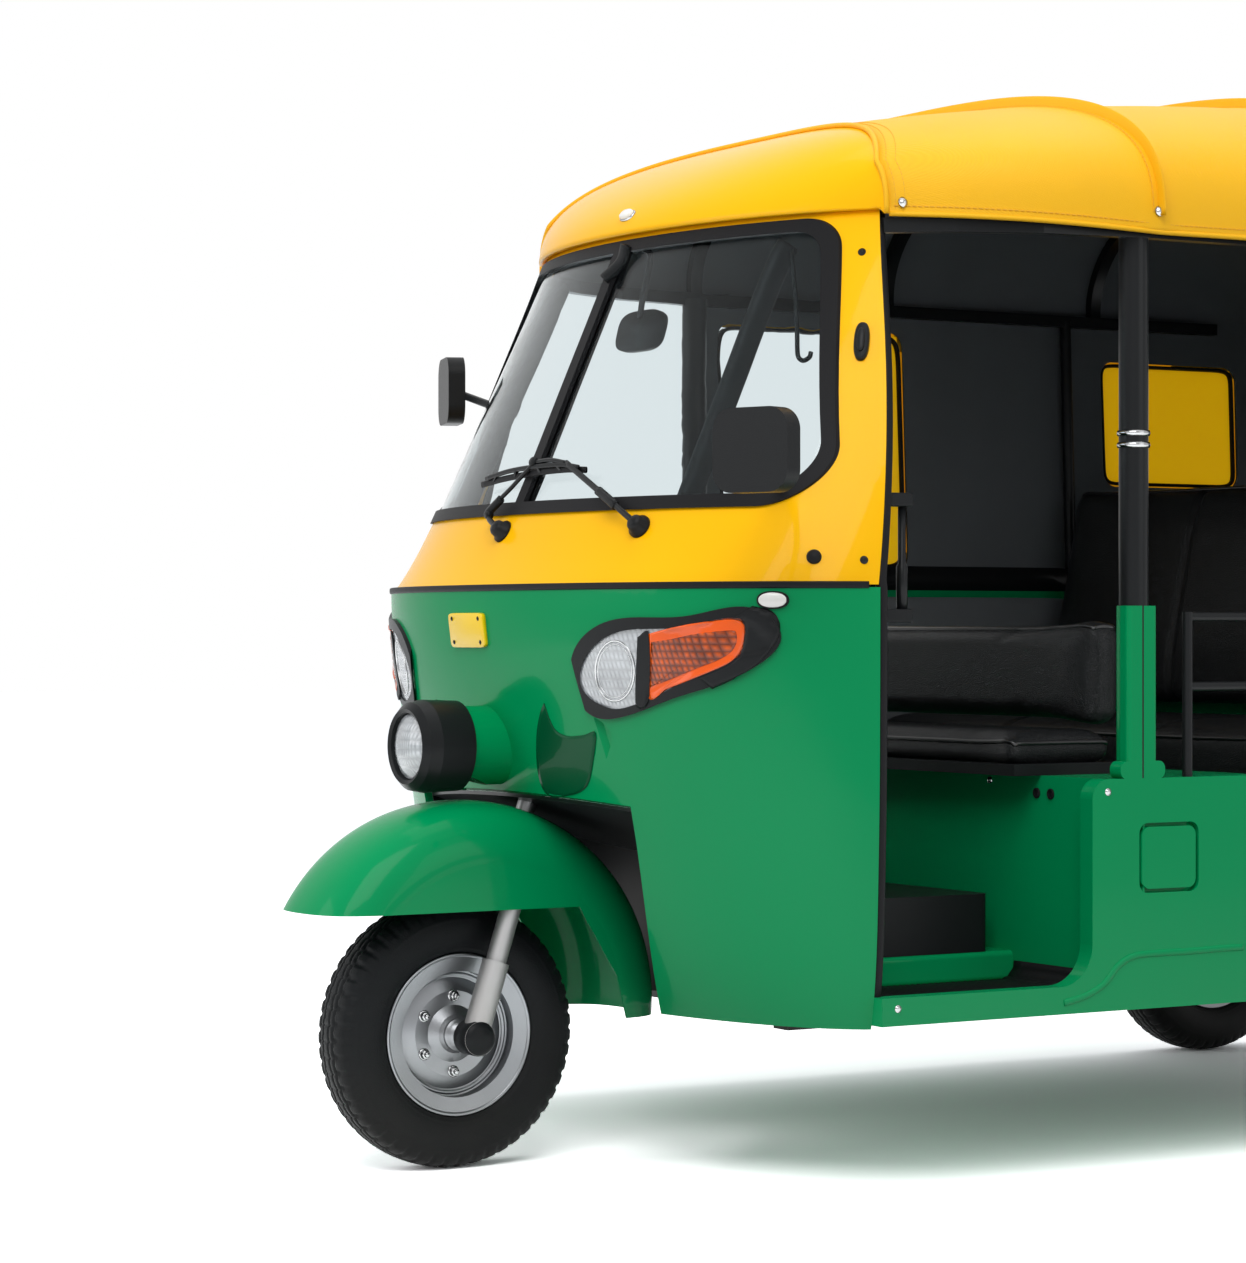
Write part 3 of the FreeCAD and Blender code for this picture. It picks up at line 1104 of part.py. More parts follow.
def side_guard():
    """The two guard rods beside the passengers' entrance, on the seat box side."""
    x = HALF_WIDTH - 15
    front, rear = 946.0, BOX_REAR_Y - 24
    solid = tube(V(x, front, BOX_TOP_Z), V(x, front, 857), 8)
    solid = solid.fuse(tube(V(x, rear, BOX_TOP_Z), V(x, rear, 857), 8))
    for z in (743.0, 850.0):
        solid = solid.fuse(tube(V(x, front, z), V(x, rear, z), 7))
    return solid


def build():
    """Every solid by name."""
    bezels, clears, ambers = corner_lamps()
    bezel, lens = headlamp()
    front_tyre, front_rim = wheel(0, 0, 1)
    left_tyre, left_rim = wheel(REAR_TRACK / 2, WHEELBASE, 1)
    right_tyre, right_rim = wheel(-REAR_TRACK / 2, WHEELBASE, -1)
    base, cushion, roll = driver_seat()
    bench, backrest = passenger_seat()
    mirror_left, mirror_right = mirrors()
    return {
        "chassis_frame": chassis(),
        "floor_pan": floor_pan(),
        "wheel_arch": wheel_arch(),
        "cab_lower": cab_lower(),
        "cab_upper": cab_upper(),
        "roof_cap": roof_cap(),
        "windscreen": windscreen(),
        "screen_rubber": screen_rubber(),
        "headlamp_bezel": bezel,
        "headlamp_lens": lens,
        "lamp_bezels": bezels,
        "lamp_clear": clears,
        "lamp_amber": ambers,
        "mirror_left": mirror_left,
        "mirror_right": mirror_right,
        "dashboard": dashboard(),
        "head_tube": head_tube(),
        "side_left": side_left(),
        "side_right": side_right(),
        "side_guard": side_guard(),
        "fuel_flap": fuel_flap(),
        "floor_locker": floor_locker(),
        "driver_box": driver_box(),
        "driver_seat_base": base,
        "driver_cushion": cushion,
        "driver_bolster": roll,
        "passenger_box": passenger_box(),
        "passenger_cushion": bench,
        "passenger_backrest": backrest,
        "rear_deck": rear_deck(),
        "rear_panel": rear_panel(),
        "rear_hatch": rear_hatch(),
        "tail_lamps": tail_lamps(),
        "rear_bumper": rear_bumper(),
        "hood_frame": hood_frame(),
        "hood_lining": hood_lining(),
        "hood_canvas": hood_canvas(),
        "engine": engine(),
        "silencer": silencer(),
        "drive_shafts": drive_shafts(),
        "trailing_arms": trailing_arms(),
        "dampers": dampers(),
        "fork": fork(),
        "front_axle": front_axle(),
        "front_fender": front_fender(),
        "handlebar": handlebar(),
        "front_tyre": front_tyre,
        "front_rim": front_rim,
        "rear_tyre_left": left_tyre,
        "rear_rim_left": left_rim,
        "rear_tyre_right": right_tyre,
        "rear_rim_right": right_rim,
    }


os.makedirs("parts", exist_ok=True)
for name, shape in build().items():
    shape = shape.copy()
    shape.translate(V(0, -MID_Y, 0))
    shape.exportStep("parts/" + name + ".step")
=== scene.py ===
"""Looks of a three-wheeled auto rickshaw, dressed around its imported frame.

Metres; +Z is up, the vehicle faces -Y and its left side is +X. Lengths along the vehicle are counted from
the front axle and shifted into the frame's own origin by the Layout class.
"""

import logging
import math
from dataclasses import dataclass
from enum import Enum
from typing import Sequence

import bmesh
import bpy
import numpy as np
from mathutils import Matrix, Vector
from mathutils.bvhtree import BVHTree


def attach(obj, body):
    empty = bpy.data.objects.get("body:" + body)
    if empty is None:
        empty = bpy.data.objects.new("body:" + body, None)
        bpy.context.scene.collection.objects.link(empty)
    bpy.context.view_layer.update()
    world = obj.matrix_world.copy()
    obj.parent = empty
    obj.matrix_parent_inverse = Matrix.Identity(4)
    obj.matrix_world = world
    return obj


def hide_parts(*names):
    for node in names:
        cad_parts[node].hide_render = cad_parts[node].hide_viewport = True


LOG = logging.getLogger("rickshaw")
Array = np.ndarray
Colour = tuple[float, float, float]
Pixels = Sequence[tuple[float, float]]
Rows = Sequence[Sequence[float]]
Piece = bpy.types.Object
Socket = bpy.types.NodeSocket
Tree = bpy.types.NodeTree


class Side(Enum):
    """The two sides of the vehicle, by the sign of X."""

    LEFT = 1
    RIGHT = -1

    def mirror(self, points: Array) -> Array:
        """Points of the left side, brought to this side."""
        return points * np.array([float(self.value), 1.0, 1.0])

    def name_of(self, stem: str) -> str:
        """The name of this side's piece."""
        return "%s_%s" % (stem, self.name.lower())


class Body(Enum):
    """The rigid bodies that new pieces ride on."""

    BODY = "body"
    STEERING = "steering"
    FRONT_WHEEL = "front_wheel"
    REAR_LEFT = "rear_wheel_left"
    REAR_RIGHT = "rear_wheel_right"
    HATCH = "engine_hatch"


@dataclass(frozen=True)
class Layout:
    """Places that several sub-assemblies share, in metres."""

    front_axle_y: float = -1.045
    tyre_radius: float = 0.2075

    def along(self, y: float) -> float:
        """Turns a distance behind the front axle into the frame's Y."""
        return y + self.front_axle_y

    def point(self, x: float, y: float, z: float) -> Array:
        """A point given by its distance behind the front axle, in the frame."""
        return np.array([x, self.along(y), z])

    def framed(self, points: Array) -> Array:
        """Points whose Y counts from the front axle, in the frame."""
        out = np.array(points, dtype=float)
        out[..., 1] = self.along(out[..., 1])
        return out


LAYOUT = Layout()
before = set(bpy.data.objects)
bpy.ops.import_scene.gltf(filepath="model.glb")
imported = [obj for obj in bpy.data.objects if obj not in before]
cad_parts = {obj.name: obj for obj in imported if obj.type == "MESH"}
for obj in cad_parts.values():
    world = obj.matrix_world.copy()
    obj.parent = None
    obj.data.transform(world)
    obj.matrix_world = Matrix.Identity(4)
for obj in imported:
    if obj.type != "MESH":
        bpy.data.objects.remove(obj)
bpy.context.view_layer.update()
ACROSS, BACK, UP = np.eye(3)
LEVEL = np.array([1.0, 1.0, 0.0])
CAMERA_PLACE = (4.784, -3.600, 0.827)
CAMERA_TURN = math.radians(59.0)


def unit(vector: Array) -> Array:
    """The vector divided by its length."""
    vector = np.asarray(vector, dtype=float)
    return vector / np.maximum(np.linalg.norm(vector, axis=-1, keepdims=True), 1e-12)


def make_object(name: str, points: Array, faces: Sequence[Sequence[int]], smooth: bool = True) -> Piece:
    """Puts points and faces into a new mesh object at the origin.

    Args:
        name: the piece's name.
        points: one row of X, Y, Z for each vertex.
        faces: vertex numbers of each face, turning anticlockwise seen from outside.
        smooth: whether the faces are shaded smooth.

    Returns:
        The new object, linked to the scene.
    """
    mesh = bpy.data.meshes.new(name)
    mesh.from_pydata(np.asarray(points, dtype=float).tolist(), [], [list(map(int, f)) for f in faces])
    mesh.polygons.foreach_set("use_smooth", [smooth] * len(mesh.polygons))
    mesh.update()
    obj = bpy.data.objects.new(name, mesh)
    bpy.context.scene.collection.objects.link(obj)
    return obj


def grid_faces(rows: int, cols: int, wrap_rows: bool = False, wrap_cols: bool = False, start: int = 0) -> Array:
    """Quads over a grid of rows by cols points, numbered row by row from start.

    Args:
        rows: number of rows of points.
        cols: number of points in a row.
        wrap_rows: whether the last row joins the first.
        wrap_cols: whether the last point of a row joins its first.
        start: number of the first point.

    Returns:
        One row of four vertex numbers for each quad.
    """
    r = np.arange(rows if wrap_rows else rows - 1)
    c = np.arange(cols if wrap_cols else cols - 1)
    rr, cc = np.meshgrid(r, c, indexing="ij")
    a = rr * cols + cc
    b = rr * cols + (cc + 1) % cols
    d = ((rr + 1) % rows) * cols + cc
    e = ((rr + 1) % rows) * cols + (cc + 1) % cols
    return np.stack([a, b, e, d], axis=-1).reshape(-1, 4) + start


def surface(name: str, points: Array, wrap_rows: bool = False, wrap_cols: bool = False,
            caps: bool = False) -> Piece:
    """A mesh over a grid of points, with its normals turned outwards.

    Args:
        name: the piece's name.
        points: an array of rows by cols by 3.
        wrap_rows: whether the last row joins the first.
        wrap_cols: whether the last column joins the first.
        caps: whether the first and last rows are closed with a face.

    Returns:
        The new object.
    """
    rows, cols = points.shape[:2]
    faces = grid_faces(rows, cols, wrap_rows, wrap_cols).tolist()
    if caps:
        faces.append(list(range(cols))[::-1])
        faces.append(list(range((rows - 1) * cols, rows * cols)))
    return weld(make_object(name, points.reshape(-1, 3), faces))


def weld(obj: Piece) -> Piece:
    """Merges doubled vertices and turns the faces outwards."""
    bm = bmesh.new()
    bm.from_mesh(obj.data)
    bmesh.ops.remove_doubles(bm, verts=bm.verts, dist=1e-6)
    bmesh.ops.recalc_face_normals(bm, faces=bm.faces)
    bm.to_mesh(obj.data)
    bm.free()
    return obj


def thickened(obj: Piece, thickness: float, offset: float) -> Piece:
    """Gives a thin sheet a wall: offset 1 adds it outside, -1 inside and 0 to both sides."""
    wall = obj.modifiers.new("wall", "SOLIDIFY")
    wall.thickness, wall.offset = thickness, offset
    return obj


def faced(obj: Piece, way: Array) -> Piece:
    """Turns an open sheet over where it looks away from the given direction."""
    if sum(float(np.dot(p.normal, way)) * p.area for p in obj.data.polygons) < 0:
        obj.data.flip_normals()
    return obj


def applied(obj: Piece) -> Piece:
    """The object with its modifiers made part of its mesh."""
    mesh = bpy.data.meshes.new_from_object(obj.evaluated_get(bpy.context.evaluated_depsgraph_get()))
    obj.modifiers.clear()
    obj.data = mesh
    return obj


def joined(name: str, objects: Sequence[Piece]) -> Piece:
    """Joins several mesh objects at the origin into one piece.

    Args:
        name: the joined piece's name.
        objects: the meshes, which are removed; each keeps its own material slots.

    Returns:
        The joined object.
    """
    points, faces, slots, material_of, smooth = [], [], [], [], []
    count = 0
    for obj in objects:
        mesh = obj.data
        co = np.empty(len(mesh.vertices) * 3)
        mesh.vertices.foreach_get("co", co)
        points.append(co.reshape(-1, 3))
        for slot in mesh.materials:
            if slot not in slots:
                slots.append(slot)
        for poly in mesh.polygons:
            faces.append([v + count for v in poly.vertices])
            material_of.append(slots.index(mesh.materials[poly.material_index]) if mesh.materials else 0)
            smooth.append(poly.use_smooth)
        count += len(mesh.vertices)
    out = make_object(name, np.concatenate(points), faces)
    for slot in slots:
        out.data.materials.append(slot)
    out.data.polygons.foreach_set("material_index", material_of)
    out.data.polygons.foreach_set("use_smooth", smooth)
    for obj in objects:
        bpy.data.meshes.remove(obj.data)
    return out


def frames_along(path: Array) -> tuple[Array, Array, Array]:
    """Tangents and two unit normals at each point of a path, turned as little as possible along it.

    Args:
        path: the points, one row each.

    Returns:
        The tangents, first normals and second normals.
    """
    tangent = unit(np.gradient(path, axis=0))
    reference = UP
    if abs(tangent[0] @ reference) > 0.9:
        reference = ACROSS
    normal = unit(np.cross(tangent[0], reference))
    normals = [normal]
    for t in tangent[1:]:
        normal = unit(normal - (normal @ t) * t)
        normals.append(normal)
    normals = np.array(normals)
    return tangent, normals, np.cross(tangent, normals)


def curve(points: Rows, steps: int = 8) -> Array:
    """A Catmull-Rom curve through the points: each span is a cubic that meets its neighbours' directions.

    Args:
        points: the points to pass through.
        steps: how many pieces each span is cut into.

    Returns:
        The points of the curve, one row each.
    """
    p = np.asarray(points, dtype=float)
    p = np.vstack([2 * p[0] - p[1], p, 2 * p[-1] - p[-2]])
    t = np.linspace(0, 1, steps, endpoint=False)[:, None]
    spans = []
    for a, b, c, d in zip(p, p[1:], p[2:], p[3:]):
        spans.append(0.5 * (2 * b + (c - a) * t + (2 * a - 5 * b + 4 * c - d) * t ** 2 + (3 * b - a - 3 * c + d)
                            * t ** 3))
    return np.vstack(spans + [p[-2][None]])


def swept(name: str, path: Array, profile: Array, closed: bool = False) -> Piece:
    """Carries a closed profile along a path: point = path + a * normal + b * binormal.

    Args:
        name: the piece's name.
        path: the path's points.
        profile: the profile's (a, b) points, in metres.
        closed: whether the path is a loop.

    Returns:
        The swept object, its ends closed unless the path is a loop.
    """
    _, n, b = frames_along(path)
    points = path[:, None, :] + profile[None, :, 0, None] * n[:, None, :] + profile[None, :, 1,
                                                                                    None] * b[:, None, :]
    return surface(name, points, wrap_rows=closed, wrap_cols=True, caps=not closed)


def full_turn(count: int) -> Array:
    """Angles evenly round a circle."""
    return np.linspace(0, 2 * math.pi, count, endpoint=False)


def circle(radius: float, sides: int = 16) -> Array:
    """Points of a circle."""
    t = full_turn(sides)
    return np.stack([radius * np.cos(t), radius * np.sin(t)], axis=-1)


def bar(name: str, points: Rows, radius: float, sides: int = 16, steps: int = 6) -> Piece:
    """A round bar along a smooth curve through the points."""
    path = curve(points, steps) if len(points) > 2 else np.asarray(points, dtype=float)
    return swept(name, path, circle(radius, sides))


def lathe(name: str, profile: Rows, origin: Array, axis: Array, sides: int = 32) -> Piece:
    """Turns a profile of (distance along the axis, radius) pairs about the axis.

    Args:
        name: the piece's name.
        profile: the profile from one end to the other; radius 0 closes a pole.
        origin: a point on the axis.
        axis: the axis' direction.
        sides: facets round the axis.

    Returns:
        The turned object.
    """
    axis = unit(axis)
    ref = UP if abs(axis[2]) < 0.9 else ACROSS
    n = unit(np.cross(axis, ref))
    b = np.cross(axis, n)
    t = full_turn(sides)
    rim = np.cos(t)[:, None] * n + np.sin(t)[:, None] * b
    p = np.asarray(profile, dtype=float)
    points = np.asarray(origin) + p[:, 0, None, None] * axis + p[:, 1, None, None] * rim[None]
    return surface(name, points, wrap_cols=True)


def oval(half_w: float, half_h: float, power: float, count: int) -> Array:
    """Points round |a / half_w|^power + |b / half_h|^power = 1."""
    t = full_turn(count)
    c, s = np.cos(t), np.sin(t)
    return np.stack([half_w * np.sign(c) * np.abs(c) ** (2 / power), half_h * np.sign(s)
                     * np.abs(s) ** (2 / power)], axis=-1)


def plate(name: str, centre: Array, across: Array, up: Array, outline: Array, thickness: float,
          edge: float = 0.0012) -> Piece:
    """A flat plate with a softened rim: its outline lifted along the normal in four rings.

    Args:
        name: the piece's name.
        centre: middle of the plate's back.
        across: direction of the outline's first coordinate.
        up: direction of the outline's second coordinate.
        outline: (a, b) points round the plate.
        thickness: from back to front, along across x up.
        edge: how far the front rim is rounded off.

    Returns:
        The plate.
    """
    across, up = unit(across), unit(up)
    normal = np.cross(across, up)
    rings = []
    for inset, lift in ((0, 0), (0, thickness - edge), (edge * 0.3, thickness - edge * 0.3), (edge, thickness)):
        shrunk = outline * (1 - inset / np.abs(outline).max())
        rings.append(np.asarray(centre) + shrunk[:, 0, None] * across + shrunk[:, 1, None] * up + lift * normal)
    return surface(name, np.array(rings), wrap_cols=True, caps=True)


class Shell:
    """The outer surface of some CAD nodes, for seating small pieces on it."""

    def __init__(self, nodes: Sequence[str], pieces: Sequence[Piece] = ()) -> None:
        """Builds one search tree over the meshes of the nodes and of new pieces."""
        points, faces, count = [], [], 0
        for mesh in [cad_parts[name].data for name in nodes] + [piece.data for piece in pieces]:
            mesh.calc_loop_triangles()
            points += [v.co.copy() for v in mesh.vertices]
            faces += [[v + count for v in t.vertices] for t in mesh.loop_triangles]
            count += len(mesh.vertices)
        self.tree = BVHTree.FromPolygons(points, faces)

    def hit(self, start: Array, direction: Array) -> tuple[Array, Array]:
        """The first point met from start along direction, and its normal turned towards start.

        Args:
            start: where the ray starts.
            direction: where it goes.

        Returns:
            The point and the unit normal.
        """
        where, normal, _, _ = self.tree.ray_cast(Vector(start), Vector(direction))
        if where is None:
            raise ValueError("no surface at %s along %s" % (start, direction))
        if normal.dot(Vector(direction)) > 0:
            normal = -normal
        return np.array(where), np.array(normal)


class Graph:
    """A short way to add nodes and links to a node tree."""

    def __init__(self, tree: Tree) -> None:
        """Keeps the tree that nodes are added to."""
        self.tree = tree

    def add(self, kind: str, inputs: dict | None = None, **settings) -> bpy.types.Node:
        """Adds a node, sets its properties, and fills or links its inputs.

        Args:
            kind: the node's type name without the ShaderNode prefix.
            inputs: values, or sockets of other nodes, by input name or number.
            settings: the node's own properties.

        Returns:
            The new node.
        """
        node = self.tree.nodes.new(kind if kind.startswith("NodeGroup") else "ShaderNode" + kind)
        for key, value in settings.items():
            setattr(node, key, value)
        for key, value in (inputs or {}).items():
            if isinstance(value, Socket):
                self.tree.links.new(value, node.inputs[key])
            else:
                node.inputs[key].default_value = value
        return node

    def maths(self, operation: str, *values, clamp: bool = False) -> Socket:
        """The result of a Math node on values or sockets."""
        node = self.add("Math", dict(enumerate(values)), operation=operation, use_clamp=clamp)
        return node.outputs[0]

    def mix(self, factor, a, b) -> Socket:
        """The colour that a Mix node gives between a and b."""
        return self.add("Mix", {0: factor, 6: a, 7: b}, data_type="RGBA").outputs[2]

    def scaled(self, colour, gain) -> Socket:
        """A colour or a vector times a number."""
        return self.add("VectorMath", {0: colour, "Scale": gain}, operation="SCALE").outputs[0]


def rgba(colour: Colour) -> tuple[float, float, float, float]:
    """A colour with full alpha."""
    return (*colour, 1.0)


class Effect(Enum):
    """Surface effects that several finishes share, each a node group."""

    MOTTLE = "mottle"
    DUST = "road dust"
    RIPPLE = "paint ripple"
    PEBBLE = "leather grain"
    WEAVE = "canvas weave"
    STREAK = "brushed streaks"
    RIBS = "lens ribs"


class GroupGraph(Graph):
    """The inside of a node group: its named inputs and outputs, and noise on the object's own coordinates."""

    def __init__(self, tree: Tree) -> None:
        """Adds the nodes that the group's values enter and leave by."""
        super().__init__(tree)
        self.entry = tree.nodes.new("NodeGroupInput")
        self.leave = tree.nodes.new("NodeGroupOutput")
        self.where = self.add("TexCoord").outputs["Object"]

    def given(self, name: str) -> Socket:
        """The value that comes in under a name."""
        return self.entry.outputs[name]

    def give(self, name: str, socket: Socket) -> None:
        """Sends a value out under a name."""
        self.tree.links.new(socket, self.leave.inputs[name])

    def give_relief(self, mask: Socket) -> None:
        """Sends out a relief's height, which is mask * Depth, and the mask itself."""
        self.give("Height", self.maths("MULTIPLY", mask, self.given("Depth")))
        self.give("Mask", mask)

    def noise(self, scale, detail: float = 3.0, vector=None) -> Socket:
        """Noise from 0 to 1."""
        return self.add("TexNoise", {"Vector": vector or self.where, "Scale": scale, "Detail": detail}).outputs[0]

    def wave(self, run, factor) -> Socket:
        """sin(run * factor)."""
        return self.maths("SINE", self.maths("MULTIPLY", run, factor))

    def split(self) -> bpy.types.bpy_prop_collection:
        """The object's own X, Y and Z."""
        return self.add("SeparateXYZ", {0: self.where}).outputs


class Effects:
    """Builds each shared node group once and hands it out; each effect's maker bears its name."""

    colours = ("Color", "Dust")
    sockets: dict[Effect, tuple[Sequence[str], Sequence[str]]] = {
        Effect.MOTTLE: (("Color", "Scale", "Amount"), ("Color",)),
        Effect.DUST: (("Color", "Dust", "Top", "Amount", "Roughness"), ("Color", "Roughness")),
        Effect.RIPPLE: (("Scale", "Depth"), ("Height",)),
        Effect.PEBBLE: (("Scale", "Depth"), ("Height", "Mask")),
        Effect.WEAVE: (("Scale", "Depth"), ("Height", "Mask")),
        Effect.STREAK: (("Scale", "Depth"), ("Height", "Mask")),
        Effect.RIBS: (("Pitch", "Depth"), ("Height", "Mask"))}

    def __init__(self) -> None:
        """Starts with no groups."""
        self.groups: dict[Effect, Tree] = {}

    def get(self, effect: Effect) -> Tree:
        """The node group of an effect, built on first use.

        Args:
            effect: which effect.

        Returns:
            The group's node tree.
        """
        if effect not in self.groups:
            tree = bpy.data.node_groups.new(effect.value, "ShaderNodeTree")
            for way, names in zip(("INPUT", "OUTPUT"), self.sockets[effect]):
                for name in names:
                    kind = "NodeSocketColor" if name in self.colours else "NodeSocketFloat"
                    tree.interface.new_socket(name, in_out=way, socket_type=kind)
            getattr(self, effect.name.lower())(GroupGraph(tree))
            self.groups[effect] = tree
        return self.groups[effect]

    def mottle(self, graph: GroupGraph) -> None:
        """Broad lighter and darker patches: the colour scaled by 1 +/- Amount along a noise."""
        level = graph.maths("SUBTRACT", graph.noise(graph.given("Scale")), 0.5)
        gain = graph.maths("ADD", graph.maths("MULTIPLY", level, graph.given("Amount")), 1.0)
        graph.give("Color", graph.scaled(graph.given("Color"), gain))

    def dust(self, graph: GroupGraph) -> None:
        """Dust that thickens below the Top height and in patches, and dulls the surface."""
        top = graph.given("Top")
        fall = graph.maths("DIVIDE", graph.maths("SUBTRACT", top, graph.split()[2]), top, clamp=True)
        patch = graph.maths("MULTIPLY", graph.noise(9.0, 5.0), fall)
        mask = graph.maths("MULTIPLY", patch, graph.given("Amount"), clamp=True)
        graph.give("Color", graph.mix(mask, graph.given("Color"), graph.given("Dust")))
        dulled = graph.maths("ADD", graph.given("Roughness"), graph.maths("MULTIPLY", mask, 0.6), clamp=True)
        graph.give("Roughness", dulled)

    def ripple(self, graph: GroupGraph) -> None:
        """The faint orange peel of sprayed paint."""
        graph.give("Height", graph.maths("MULTIPLY", graph.noise(graph.given("Scale"), 1.0), graph.given("Depth")))

    def pebble(self, graph: GroupGraph) -> None:
        """Leather grain: small rounded cells with creases between them."""
        shift = graph.add("TexNoise", {"Vector": graph.where, "Scale": 90.0}).outputs[1]
        bent = graph.add("VectorMath", {0: graph.where, 1: graph.scaled(shift, 0.002)}, operation="ADD")
        cells = graph.add("TexVoronoi", {"Vector": bent.outputs[0], "Scale": graph.given("Scale")},
                          feature="DISTANCE_TO_EDGE")
        graph.give_relief(graph.maths("MULTIPLY", cells.outputs[0], 6.0, clamp=True))

    def weave(self, graph: GroupGraph) -> None:
        """Coated canvas: threads along the vehicle and across it, as two sines multiplied."""
        x, y, z = graph.split()
        scale = graph.given("Scale")
        crossing = graph.maths("MULTIPLY", graph.wave(graph.maths("ADD", x, z), scale), graph.wave(y, scale))
        graph.give_relief(graph.maths("MULTIPLY_ADD", crossing, 0.5, 0.5))

    def streak(self, graph: GroupGraph) -> None:
        """Fine turned or brushed lines: noise drawn out along one direction."""
        stretched = graph.add("Mapping", {"Vector": graph.where, "Scale": (1.0, 0.08, 1.0)})
        graph.give_relief(graph.noise(graph.given("Scale"), 4.0, stretched.outputs[0]))

    def ribs(self, graph: GroupGraph) -> None:
        """Optic ribs of a moulded lens: rounded waves of the given pitch along the vehicle and, coarser, up it."""
        x, y, z = graph.split()
        along = graph.maths("DIVIDE", graph.maths("SUBTRACT", y, x), graph.given("Pitch"))
        upward = graph.maths("DIVIDE", z, graph.given("Pitch"))
        waves = [graph.maths("ABSOLUTE", graph.wave(run, factor)) for run,
                 factor in ((along, math.pi), (upward, math.pi * 0.4))]
        graph.give_relief(graph.maths("MULTIPLY", *waves))


EFFECTS = Effects()
DUST_COLOUR: Colour = (0.30, 0.27, 0.22)
SKIN_RADIUS: Colour = (0.012, 0.008, 0.002)


@dataclass(frozen=True)
class Relief:
    """The fine relief of a finish: its effect, how fine and how deep it is, and how far it paints shade into its
    hollows.
    """

    effect: Effect
    scale: float
    depth: float
    # painted shade: how far the colour is darkened where the relief's mask is low, in the hollows between threads,
    # grain cells and lens ribs
    painted_hollow_shade: float = 0.0


@dataclass(frozen=True)
class Finish:
    """A finish: plain shader values, and the shared effects laid over its colour and relief."""

    name: str
    slot: str
    colour: Colour
    roughness: float = 0.4
    metallic: float = 0.0
    coat: float = 0.0
    specular: float = 0.5
    relief: Relief | None = None
    mottle: float = 0.06
    mottle_scale: float = 4.0
    dust: float = 0.0
    dust_top: float = 0.5
    transmission: float = 0.0
    ior: float = 1.45
    # painted light: emission of the finish's own colour, for a surface that is no lamp
    painted_glow: float = 0.0
    subsurface: float = 0.0

    def material(self) -> bpy.types.Material:
        """The finish's material, built on first use.

        Returns:
            The material.
        """
        found = bpy.data.materials.get(self.name)
        if found:
            return found
        material = bpy.data.materials.new(self.name)
        material.use_nodes = True
        tree = material.node_tree
        tree.nodes.clear()
        graph = Graph(tree)
        shader = graph.add("BsdfPrincipled", {
            "Roughness": self.roughness, "Metallic": self.metallic, "Coat Weight": self.coat,
            "Coat Roughness": 0.03, "Specular IOR Level": self.specular,
            "Transmission Weight": self.transmission, "IOR": self.ior})
        if self.subsurface:
            shader.inputs["Subsurface Weight"].default_value = self.subsurface
            shader.inputs["Subsurface Radius"].default_value = SKIN_RADIUS
            shader.inputs["Subsurface Scale"].default_value = 1.0
        # painted light: the surface glows in its own colour
        if self.painted_glow:
            shader.inputs["Emission Color"].default_value = rgba(self.colour)
            shader.inputs["Emission Strength"].default_value = self.painted_glow
        colour = self.group(graph, Effect.MOTTLE, {"Color": rgba(self.colour), "Scale": self.mottle_scale,
                                                   "Amount": self.mottle}).outputs["Color"]
        if self.relief:
            key = "Pitch" if self.relief.effect is Effect.RIBS else "Scale"
            relief = self.group(graph, self.relief.effect, {key: self.relief.scale, "Depth": 1.0})
            bump = graph.add("Bump", {"Height": relief.outputs["Height"], "Distance": self.relief.depth,
                                      "Strength": 1.0})
            tree.links.new(bump.outputs[0], shader.inputs["Normal"])
            # painted shade: the colour is darkened in the relief's hollows
            if self.relief.painted_hollow_shade:
                level = graph.maths("MULTIPLY_ADD", relief.outputs["Mask"], self.relief.painted_hollow_shade,
                                    1.0 - self.relief.painted_hollow_shade)
                colour = graph.scaled(colour, level)
        if self.dust:
            dusty = self.group(graph, Effect.DUST, {"Dust": rgba(DUST_COLOUR), "Top": self.dust_top,
                                                    "Amount": self.dust, "Roughness": self.roughness})
            tree.links.new(colour, dusty.inputs["Color"])
            tree.links.new(dusty.outputs["Roughness"], shader.inputs["Roughness"])
            colour = dusty.outputs["Color"]
        tree.links.new(colour, shader.inputs["Base Color"])
        out = graph.add("OutputMaterial")
        tree.links.new(shader.outputs[0], out.inputs[0])
        return material

    @staticmethod
    def group(graph: Graph, effect: Effect, inputs: dict) -> bpy.types.Node:
        """Places an effect's node group in a material with its own values."""
        node = graph.tree.nodes.new("ShaderNodeGroup")
        node.node_tree = EFFECTS.get(effect)
        for key, value in inputs.items():
            node.inputs[key].default_value = value
        return node


